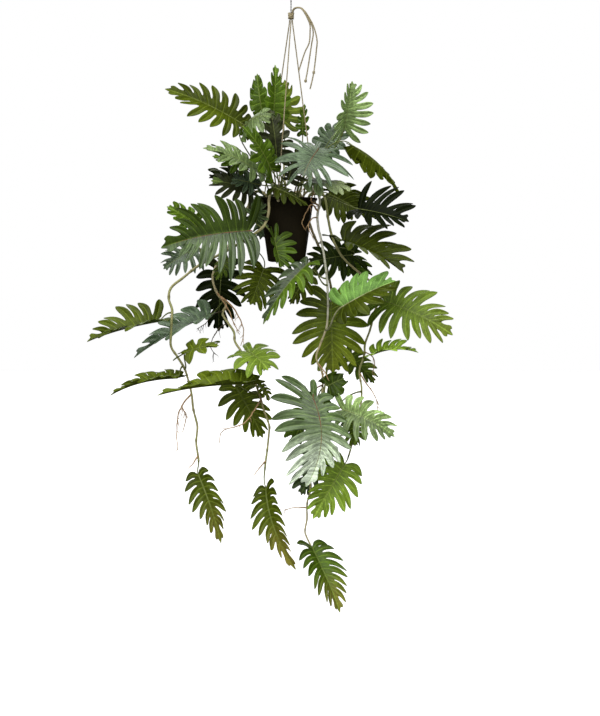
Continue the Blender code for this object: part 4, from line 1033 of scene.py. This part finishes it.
def stemPiece(name):
    settings = stems[name]
    chance = random.Random(name)
    step = stemSet["fine"]
    route = resampled(smoothRoute(vineRoute(name), step), step)
    count = len(route) - 1
    knuckles = []
    place = chance.uniform(*stemSet["knuckleEvery"])
    while place < count * step:
        knuckles.append(place)
        place += chance.uniform(*stemSet["knuckleEvery"])
    radii, tones, rings, line = [], [], [], []
    shades = settings["shades"]
    for index, here in enumerate(route):
        share = index / count
        away = min((abs(index * step - knuckle) for knuckle in knuckles), default=99.0)
        swell = stemSet["knuckle"] * math.exp(-(away / 4.0) ** 2)
        swell -= 0.10 * math.exp(-((away - 7.0) / 2.5) ** 2)  # a waist beside the knuckle
        rough = 0.09 * noise.noise(here * 0.09) + 0.05 * noise.noise(here * 0.4)
        radii.append(settings["radius"] * (1.0 + (stemSet["taper"] - 1.0) * share) * (1.0 + swell + rough))
        at = share * (len(shades) - 1)
        low = min(int(at), len(shades) - 2)
        tones.append(shades[low] + (shades[low + 1] - shades[low]) * (at - low))
        rings.append(math.exp(-(away / 2.2) ** 2))
        wander = noise.noise_vector(here * 0.03) * stemSet["wander"]
        line.append(here + wander * min(1.0, index / 4))
    bm = newMesh()
    sweep(bm, line, radii, sides=12, tones=tones, ages=rings)
    bark = bm.verts.layers.float["tone"]
    for vert in bm.verts:  # lengthways ridges and dents
        here = vert.co / mm
        dent = noise.noise(Vector((here.x * 0.5, here.y * 0.5, here.z * 0.07)))
        vert.co += vert.normal * dent * stemSet["dent"] * mm
        vert[bark] += dent * 0.25
    return finished(name + "_bark", bm, ["bark"], [name])


def rootTangle(name, kind, strands):
    # thin roots that fork into finer ones towards their ends
    chance = random.Random(name + kind)
    forkRadii = [rootSet["branchRadius"] * (1.0 - 0.75 * part / 7) for part in range(8)]
    bm = newMesh()
    for strand in strands:
        line = resampled(smoothRoute(strand["route"], 6.0), rootSet["step"])
        count = len(line) - 1
        for index, here in enumerate(line):
            wander = noise.noise_vector(here * 0.07 + Vector((3, 1, 7))) * rootSet["wander"]
            line[index] = here + wander * min(1.0, index / 4)
        thick = strand["thick"] * rootSet["swell"]
        radii = [thick + (rootSet["tip"] - thick) * (index / count) ** 0.8 for index in range(count + 1)]
        sweep(bm, line, radii, sides=7)
        for fork in range(round(count * rootSet["step"] / rootSet["branchEvery"] * strand["forks"])):
            at = chance.randint(max(1, count // 5), count)
            here = line[at]
            along = (line[at] - line[at - 1]).normalized()
            aside = Vector((chance.uniform(-1, 1), chance.uniform(-0.6, 0.6), chance.uniform(-0.5, 0.3)))
            reach = chance.uniform(*rootSet["branchLength"])
            lead = (along * 0.6 + aside).normalized()
            branch = [here]
            for part in range(1, 8):
                bend = noise.noise_vector(here * 0.2 + Vector((fork, part * 0.5, 0))) * 0.55
                lead = (lead + bend + Vector((0, 0, -0.16))).normalized()
                branch.append(branch[-1] + lead * reach / 7)
            sweep(bm, branch, forkRadii, sides=5)
    return finished(name, bm, [kind])


def squareTo(direction, reach):  # the way from a stem's side towards a place, square to the stem
    return (reach - direction * reach.dot(direction)).normalized()


def leafStart(root, base):
    # where a leaf's petiole starts, and the way it sets off
    if root[0] == "fill":
        place = Vector((potSet["x"] + root[1], root[2], potSet["rim"] - potSet["fillBelow"] - 4.0))
        return place, Vector((0.0, 0.0, 1.0))
    at, direction, radius = onVine(*root)
    if root[1] == "end":
        return at - direction * 2.0, direction
    lead = squareTo(direction, Vector(base) - at)
    return at + lead * (radius - 1.0), lead


for stemName in stems:
    stemPiece(stemName)
for stemName, strands in airRoots.items():
    rootTangle(stemName + "_roots", "root", strands)
rootTangle("stem_left_centre_twigs", "twig", dryTwigs)
print("stems and roots grown:", len(stems))

# leaves with their own nodes: root is ("fill", x, y) or (stem, height); face is where the upper side looks
leaves = {
    "crown_leaf_01": dict(root=("fill", -22, -8), base=(-109, -44, -300), tip=(-275, -70, -225),
        face=(0.15, -0.85, 0.5), width=122, lobes=8, fold=(22, 8), droop=0.1, cut=0.3, slim=0.78,
        tint="olive", tone=(-0.05, -0.45)),
    "crown_leaf_02": dict(root=("fill", -6, -12), base=(-40, 10, -292), tip=(-35, 2, -167),
        face=(0.25, -0.95, 0.05), width=70, lobes=5, fold=(40, 6), cut=0.5, slim=0.95, tint="green",
        tone=0.5),
    "crown_leaf_03": dict(root=("fill", -14, 6), base=(-64, 46, -270), tip=(-75, 58, -183),
        face=(-0.3, -0.9, 0.2), width=46, lobes=4, cut=0.7, slim=0.95, tint="green", tone=0.15),
    "crown_leaf_04": dict(root=("fill", -34, -26), base=(-96, -100, -306), tip=(-43, -128, -291),
        face=(0, -0.5, 0.87), width=90, lobes=5, arch=0.16, fold=(6, -18), cut=0.6, slim=0.9, tint="sage",
        tone=-0.1),
    "crown_leaf_05": dict(root=("fill", -2, -44), base=(-43, -114, -405), tip=(-104, -172, -312),
        face=(0.25, -0.8, 0.5), width=(92, 74), lobes=6, fold=(22, 12), cut=0.45, slim=0.9, tint="green",
        tone=0.3),
    "crown_leaf_06": dict(root=("fill", -14, -42), base=(-63, -84, -413), tip=(-191, -124, -356),
        face=(0, -0.5, 0.87), width=110, lobes=7, fold=(14, 24), droop=0.2, slim=0.85, tint="sage",
        tone=(0.1, 0.3)),
    "crown_leaf_07": dict(root=("fill", -42, -14), base=(-85, -34, -446), tip=(-175, -50, -425),
        face=(-0.1, -0.85, 0.5), width=110, lobes=7, fold=(22, 10), tint="dark", tone=1.85),
    "crown_leaf_08": dict(root=("fill", 14, -16), base=(57, -92, -363), tip=(26, -150, -420),
        face=(0.05, -0.78, 0.62), width=172, lobes=8, arch=0.09, fold=(4, 8), droop=0.1, first=168, last=30,
        cut=0.36, endCut=0.42, slim=0.74, tint="silver", rib="red", tone=-0.1),
    "crown_leaf_09": dict(root=("fill", 22, 2), base=(75, 50, -350), tip=(113, 54, -297),
        face=(-0.2, -0.9, 0.3), width=80, lobes=5, cut=0.55, slim=0.9, tint="silver", tone=-0.25),
    "crown_leaf_11": dict(root=("fill", 24, 14), base=(117, 16, -307), tip=(134, -22, -204),
        face=(0.15, -0.95, 0.25), width=116, lobes=7, fold=(60, 4), droop=0.2, slim=0.85, tint="sage",
        tone=1.05),
    "crown_leaf_12": dict(root=("fill", 36, -6), base=(134, -2, -346), tip=(242, -14, -454),
        face=(0.35, -0.8, 0.5), width=66, lobes=6, arch=0.13, fold=(-48, -74), cut=0.75, slim=0.95,
        tint="olive", tone=0.1),
    "crown_leaf_13": dict(root=("fill", 46, -14), base=(147, -54, -488), tip=(257, -96, -517),
        face=(0.05, -0.92, 0.38), width=(168, 150), lobes=6, fold=(0, 46), droop=0.05, first=94, last=46,
        cut=0.24, endCut=0.3, slim=0.84, tint="black", tone=-0.5),
    "crown_leaf_14": dict(root=("fill", 22, -36), base=(42, -98, -429), tip=(133, -84, -443),
        face=(0, -0.6, 0.8), width=(64, 88), lobes=5, fold=(-10, 20), droop=0.3, first=112, cut=0.5,
        slim=0.9, tint="sage", tone=(-0.5, -0.3), age=1),
    "crown_leaf_15": dict(root=("fill", 42, 26), base=(84, 28, -452), tip=(159, 34, -494),
        face=(0, -0.9, 0.4), width=86, lobes=6, fold=(36, 6), first=100, cut=0.55, slim=0.9, tint="olive",
        tone=-0.5),
    "crown_leaf_39": dict(root=("stem_left_centre", -535), base=(-207, 10, -525), tip=(-273, -6, -480),
        face=(0.1, -0.85, 0.5), width=74, lobes=5, fold=(20, 6), cut=0.55, tint="green", tone=0.45),
    # the upper half's darker tone is painted shade, and the lower half's paler jade cloth is a painted sheen
    "left_leaf_38": dict(root=("stem_left", -552), base=(-89, -124, -538), tip=(-281, -150, -572),
        face=(0, -0.9, 0.42), width=(176, 226), lobes=9, arch=0.07, fold=(14, 26), droop=0.24, first=106,
        last=58, taper=0.4, cut=0.24, endCut=0.34, slim=0.88, tint=("jade", "green"), rib="red",
        tone=(0, -0.7)),
    "left_leaf_45": dict(root=("stem_left", -524), base=(-35, -84, -559), tip=(-22, -100, -618),
        face=(-0.1, -0.95, 0.25), width=96, lobes=6, arch=0.03, fold=(4, 84), first=160, cut=0.4, slim=0.88,
        tint="green", tone=0),
    "left_leaf_40": dict(root=("stem_left", -610), base=(-208, -10, -573), tip=(-280, -24, -617),
        face=(-0.2, -0.9, 0.4), width=88, lobes=6, fold=(10, 30), droop=0.25, slim=0.7, tint="silver",
        tone=-0.3),
    "left_leaf_30": dict(root=("stem_left", -715), base=(-293, -62, -735), tip=(-444, -92, -777),
        face=(0.1, -0.85, 0.5), width=150, lobes=7, arch=0.05, fold=(72, 4), first=118, taper=0.5, cut=0.3,
        endCut=0.44, slim=0.86, tint="olive", tone=-0.1),
    "left_leaf_33": dict(root=("stem_left", -832), base=(-249, -60, -858), tip=(-394, -84, -892),
        face=(-0.05, -0.75, 0.65), width=78, lobes=7, arch=0.08, fold=(74, 12), droop=0.3, taper=0.4,
        cut=0.5, slim=0.9, tint="olive", tone=0.2),
    "left_leaf_28": dict(root=("stem_left", "end"), base=(-203, -56, -1068), tip=(-152, -88, -1213),
        face=(0.25, -0.93, 0.25), width=80, lobes=7, fold=(44, 14), droop=0.34, first=116, slim=0.84,
        tint="olive", tone=-0.15, age=0.55),
    "left_leaf_31": dict(root=("stem_left_centre", -690), base=(-178, 14, -719), tip=(-346, 12, -812),
        face=(-0.1, -0.85, 0.5), width=112, lobes=6, fold=(62, 4), droop=0.12, first=100, taper=0.35,
        cut=0.3, endCut=0.42, slim=0.95, tint="blue", tone=(0.55, 0.4)),
    "left_leaf_43": dict(root=("stem_left_centre", -545), base=(-60, 42, -616), tip=(-90, 16, -696),
        face=(0.2, -0.93, 0.1), width=116, lobes=6, fold=(14, 10), first=104, slim=0.85, tint="olive",
        tone=0.1),
    "left_leaf_44": dict(root=("stem_left_centre", -575), base=(-153, 66, -615), tip=(-160, 64, -754),
        face=(-0.2, -0.95, 0.15), width=120, lobes=6, cut=0.3, slim=0.85, tint="black"),
    "left_leaf_36": dict(root=("stem_left_centre", -812), base=(-92, -62, -801), tip=(-50, -108, -840),
        face=(0.05, -0.75, 0.66), width=112, lobes=5, arch=0.1, fold=(6, 10), droop=0.1, first=152,
        cut=0.42, slim=0.85, tint="bright", tone=0.3),
    "left_leaf_34": dict(root=("stem_left_centre", -862), base=(-89, -76, -871), tip=(-290, -124, -894),
        face=(-0.05, -0.85, 0.5), width=90, lobes=7, fold=(74, 8), droop=0.08, taper=0.6, cut=0.72,
        slim=0.95, tint="olive", tone=0.4),
    "left_leaf_35": dict(root=("stem_left_centre", -890), base=(-121, -2, -878), tip=(-62, 2, -988),
        face=(0.15, -0.96, 0.2), width=100, lobes=6, fold=(24, 8), slim=0.86, tint="olive", tone=0.3),
    "left_leaf_29": dict(root=("stem_left_centre", "end"), base=(-55, -34, -1099), tip=(11, -74, -1272),
        face=(0.3, -0.92, 0.25), width=84, lobes=8, bow=-0.1, fold=(64, 10), droop=0.26, first=116,
        slim=0.84, tint="olive", tone=-0.08, age=1),
    # the left half's greyer jade cloth and darker tone are painted shade
    "centre_leaf_46": dict(root=("stem_right_centre", -655), base=(37, -100, -609), tip=(-60, -136, -734),
        face=(-0.35, -0.85, 0.4), width=84, lobes=6, arch=0.08, fold=(30, 24), droop=0.5, cut=0.3,
        slim=0.85, tint=("green", "jade"), tone=(0.37, -0.38)),
    "centre_leaf_47": dict(root=("stem_right_centre", -640), base=(39, -46, -624), tip=(-2, -44, -696),
        face=(0.2, -0.9, 0.3), width=62, lobes=5, slim=0.85, tint="olive", tone=-0.1),
    "centre_leaf_20": dict(root=("stem_right_centre", -690), base=(88, -22, -693), tip=(92, -28, -847),
        face=(-0.05, -0.98, 0.15), width=166, lobes=8, arch=0.05, fold=(8, 8), droop=0.06, first=134,
        cut=0.36, slim=0.92, tint="olive", tone=(0.65, 0.2), age=0.1),
    # the lower half's darker olive cloth is painted shade
    "centre_leaf_18": dict(root=("stem_right_centre", -752), base=(111, -98, -703), tip=(228, -116, -645),
        face=(0, -0.85, 0.5), width=132, lobes=6, arch=0.05, fold=(4, 34), first=100, cut=0.45, slim=0.95,
        thick=1.35, tint=("emerald", "olive"), rib="cream", tone=(0.12, -0.5)),
    # age=1 turns its lower part to the jade tip colour, a painted highlight
    "centre_leaf_21": dict(root=("stem_right_centre", -874), base=(48, -102, -901), tip=(33, -126, -1092),
        face=(-0.1, -0.9, 0.42), width=(130, 196), lobes=9, bow=0.14, fold=(10, 14), droop=0.12, first=150,
        endCut=0.44, slim=0.86, tint="jade", rib="red", tone=(0.65, 0.35), age=1),
    "centre_leaf_27": dict(root=("stem_right_centre", "end"), base=(46, -40, -1228), tip=(107, -84, -1365),
        face=(0.1, -0.95, 0.28), width=108, lobes=8, fold=(6, 46), droop=0.3, first=118, cut=0.3, slim=0.86,
        tint="green", tone=(0.2, -0.1), age=0.6),
    "right_leaf_16": dict(root=("stem_right", -545), base=(112, -38, -556), tip=(246, -92, -627),
        face=(0.2, -0.85, 0.5), width=(188, 150), lobes=7, arch=0.08, fold=(6, 56), first=110, cut=0.34,
        slim=0.88, tint="olive", tone=-0.6),
    "right_leaf_17": dict(root=("stem_right", -575), base=(135, 48, -586), tip=(37, 36, -604),
        face=(0, -0.93, 0.35), width=112, lobes=6, tint="black", tone=1.18),
    "right_leaf_19": dict(root=("stem_right", -684), base=(204, -38, -689), tip=(353, -84, -762),
        face=(0.1, -0.9, 0.42), width=150, lobes=8, arch=0.07, fold=(8, 18), cut=0.3, endCut=0.42,
        slim=0.85, tint="bright", tone=0, age=0.15),
    "right_leaf_48": dict(root=("stem_right", -812), base=(180, -60, -806), tip=(278, -80, -801),
        face=(0, -0.75, 0.66), width=84, lobes=6, arch=0.13, fold=(10, 56), first=108, taper=0.5, cut=0.3,
        slim=0.85, tint="bright", tone=0.9),
    "right_leaf_23": dict(root=("stem_right", -888), base=(114, -72, -927), tip=(226, -100, -984),
        face=(0.1, -0.85, 0.5), width=104, lobes=7, arch=0.1, fold=(46, 8), tint="sage", tone=(0.95, 0)),
    "right_leaf_25": dict(root=("stem_right", -985), base=(68, -6, -1016), tip=(22, 0, -1115),
        face=(-0.2, -0.9, 0.35), width=96, lobes=5, tint="jade", tone=-0.1),
    "right_leaf_24": dict(root=("stem_right", "end"), base=(118, -48, -1046), tip=(48, -84, -1163),
        face=(0.1, -0.95, 0.2), width=112, lobes=7, fold=(8, 14), first=112, cut=0.34, slim=0.9,
        tint="bright", tone=0.6),
}
# small leaves that belong to a stem's own node
stemLeaves = {
    "stem_left": (
        dict(height=-838, base=(-227, -74, -801), tip=(-157, -86, -786), face=(0, -0.45, 0.9), width=84,
            lobes=4, first=150, tint="olive", tone=0.3),
        dict(height=-576, base=(-137, -80, -598), tip=(-163, -96, -644), face=(0.1, -0.9, 0.3), width=46,
            lobes=5, tint="bright", tone=-0.1),
        dict(height=-530, base=(-76, -70, -517), tip=(-63, -86, -474), face=(-0.2, -0.85, 0.4), width=60,
            lobes=5, tint="jade"),
        dict(height=-450, base=(-38, -90, -442), tip=(38, -108, -482), face=(0.1, -0.8, 0.6),
            width=(26, 60), lobes=5, first=104, slim=0.85, tint="olive", tone=-0.8),),
    "stem_left_centre": (
        dict(height=-866, base=(-70, -44, -871), tip=(-48, -54, -908), face=(0.6, -0.6, 0.5), width=40,
            lobes=5, tint="olive"),),
    "stem_right_centre": (
        dict(height=-858, base=(81, -56, -875), tip=(116, -62, -858), face=(0, -0.9, 0.3), width=56,
            lobes=3, first=100, cut=0.75, slim=1, tint="green", tone=-0.6),),
    "stem_right": (
        dict(height=-940, base=(134, -48, -952), tip=(140, -66, -1006), face=(0.3, -0.9, 0.2), width=66,
            lobes=5, slim=0.9, tint="bright", tone=0),),
    "shoot_front": (
        dict(height=-432, base=(-31, -24, -375), tip=(-46, -18, -265), face=(0.3, -0.95, 0), width=80,
            lobes=6, slim=0.85, tint="dark", tone=-0.4),
        dict(height=-440, base=(-98, -50, -400), tip=(-172, -66, -372), face=(0, -0.8, 0.6), width=60,
            lobes=5, slim=0.85, tint="green", tone=0.1),
        dict(height=-434, base=(-78, -66, -434), tip=(-130, -70, -424), face=(0, -0.85, 0.5), width=60,
            lobes=5, slim=0.85, tint="blue", tone=-0.2),
        dict(height=-436, base=(-6, -54, -424), tip=(14, -50, -352), face=(0, -0.95, 0.2), width=(30, 84),
            lobes=6, first=104, slim=0.85, tint="dark"),),
    "stem_back": (
        dict(height=-560, base=(110, 114, -580), tip=(168, 164, -640), face=(0.2, 0.7, 0.7), width=92,
            lobes=5, tint="green"),
        dict(height=-780, base=(124, 100, -806), tip=(186, 132, -870), face=(0.3, 0.8, 0.5), width=80,
            lobes=5, tint="bright"),
        dict(height=-880, base=(54, 96, -912), tip=(0, 134, -1010), face=(-0.1, 0.9, 0.4), width=96,
            lobes=5, tint="green"),),
    "shoot_back_left": (
        dict(height=-372, base=(-78, 112, -330), tip=(-150, 190, -268), face=(0.1, 0.6, 0.8), width=104,
            lobes=5, tint="green"),
        dict(height=-405, base=(-100, 88, -424), tip=(-184, 150, -410), face=(-0.1, 0.55, 0.83), width=100,
            lobes=5, tint="dark"),),
    "shoot_back_middle": (
        dict(height=-362, base=(-16, 96, -292), tip=(-14, 150, -190), face=(0.1, 0.85, 0.4), width=92,
            lobes=5, tint="olive"),
        dict(height=-405, base=(-34, 116, -462), tip=(-70, 200, -546), face=(-0.1, 0.75, 0.65), width=108,
            lobes=6, tint="silver"),),
    "shoot_back_right": (
        dict(height=-372, base=(68, 108, -330), tip=(140, 182, -292), face=(0, 0.6, 0.8), width=104,
            lobes=5, tint="green"),
        dict(height=-405, base=(92, 92, -440), tip=(190, 156, -502), face=(0.1, 0.55, 0.83), width=104,
            lobes=5, tint="olive"),
        dict(height=-380, base=(26, 34, -318), tip=(30, 26, -252), face=(-0.3, -0.9, 0.1), width=34,
            lobes=4, tint="green"),),
}


def tonesOf(choice, chance):  # how much lighter the left and the right half are coloured; on some leaves the darker half is painted shade
    return paired(choice.get("tone", chance.uniform(-0.12, 0.12)))


def growLeaves():
    chance = random.Random(4)
    for name, choice in leaves.items():
        start, lead = leafStart(choice["root"], choice["base"])
        leafPiece(name.replace("_leaf_", "_frond_"), choice, start, lead, tonesOf(choice, chance), [name])
    for stemName, small in stemLeaves.items():
        for index, choice in enumerate(small):
            at, direction, radius = onVine(stemName, choice["height"])
            lead = squareTo(direction, Vector(choice["base"]) - at)
            leafPiece(f"{stemName}_leaflet_{index}", choice, at, lead, tonesOf(choice, chance))


growLeaves()
print("leaves grown:", len(leaves) + sum(len(small) for small in stemLeaves.values()))

# floor and soft lights; the plant hangs well clear of the floor
floorSet = dict(height=-1900.0, size=600.0, colour=(0.96, 0.96, 0.96), glow=0.5)
# suns as wide as soft boxes: where they stand from the plant, how wide they look and how bright they are
lights = {
    "sky": dict(at=(-0.35, -0.75, 1.25), wide=75.0, power=2.7),
    "front": dict(at=(0.25, -1.0, 0.35), wide=90.0, power=0.85),
    "back": dict(at=(0.15, 1.0, 0.35), wide=70.0, power=1.5),
    "floor": dict(at=(0.0, -0.3, -1.0), wide=120.0, power=0.22),
}


def studio():
    bm = bmesh.new()
    bmesh.ops.create_grid(bm, x_segments=1, y_segments=1, size=floorSet["size"] / 2)
    bmesh.ops.translate(bm, verts=bm.verts, vec=(0.0, 0.0, floorSet["height"] * mm))
    paper = Finish("floor paper", {"Roughness": 0.9, "Emission Color": (1.0, 1.0, 1.0),
                                   "Emission Strength": floorSet["glow"]})
    paper.colour(floorSet["colour"])
    paper.material.cycles.emission_sampling = "NONE"
    finishes["floor"] = paper.material
    floor = placed("floor", bm, ["floor"])
    floor.visible_diffuse = floor.visible_glossy = floor.visible_shadow = False
    for name, choice in lights.items():
        data = bpy.data.lights.new(name, "SUN")
        data.angle = math.radians(choice["wide"])
        data.energy = choice["power"]
        made = bpy.data.objects.new(name, data)
        made.location = choice["at"]
        made.rotation_euler = Vector(choice["at"]).to_track_quat("Z", "Y").to_euler()
        bpy.context.scene.collection.objects.link(made)
    world = bpy.data.worlds.new("studio")
    world.use_nodes = True
    sky = world.node_tree.nodes["Background"].inputs
    sky["Color"].default_value = (1.0, 1.0, 1.0, 1.0)
    sky["Strength"].default_value = 1.0
    world.cycles_visibility.diffuse = world.cycles_visibility.glossy = False
    bpy.context.scene.world = world
    bpy.context.scene.view_settings.view_transform = "Standard"


studio()
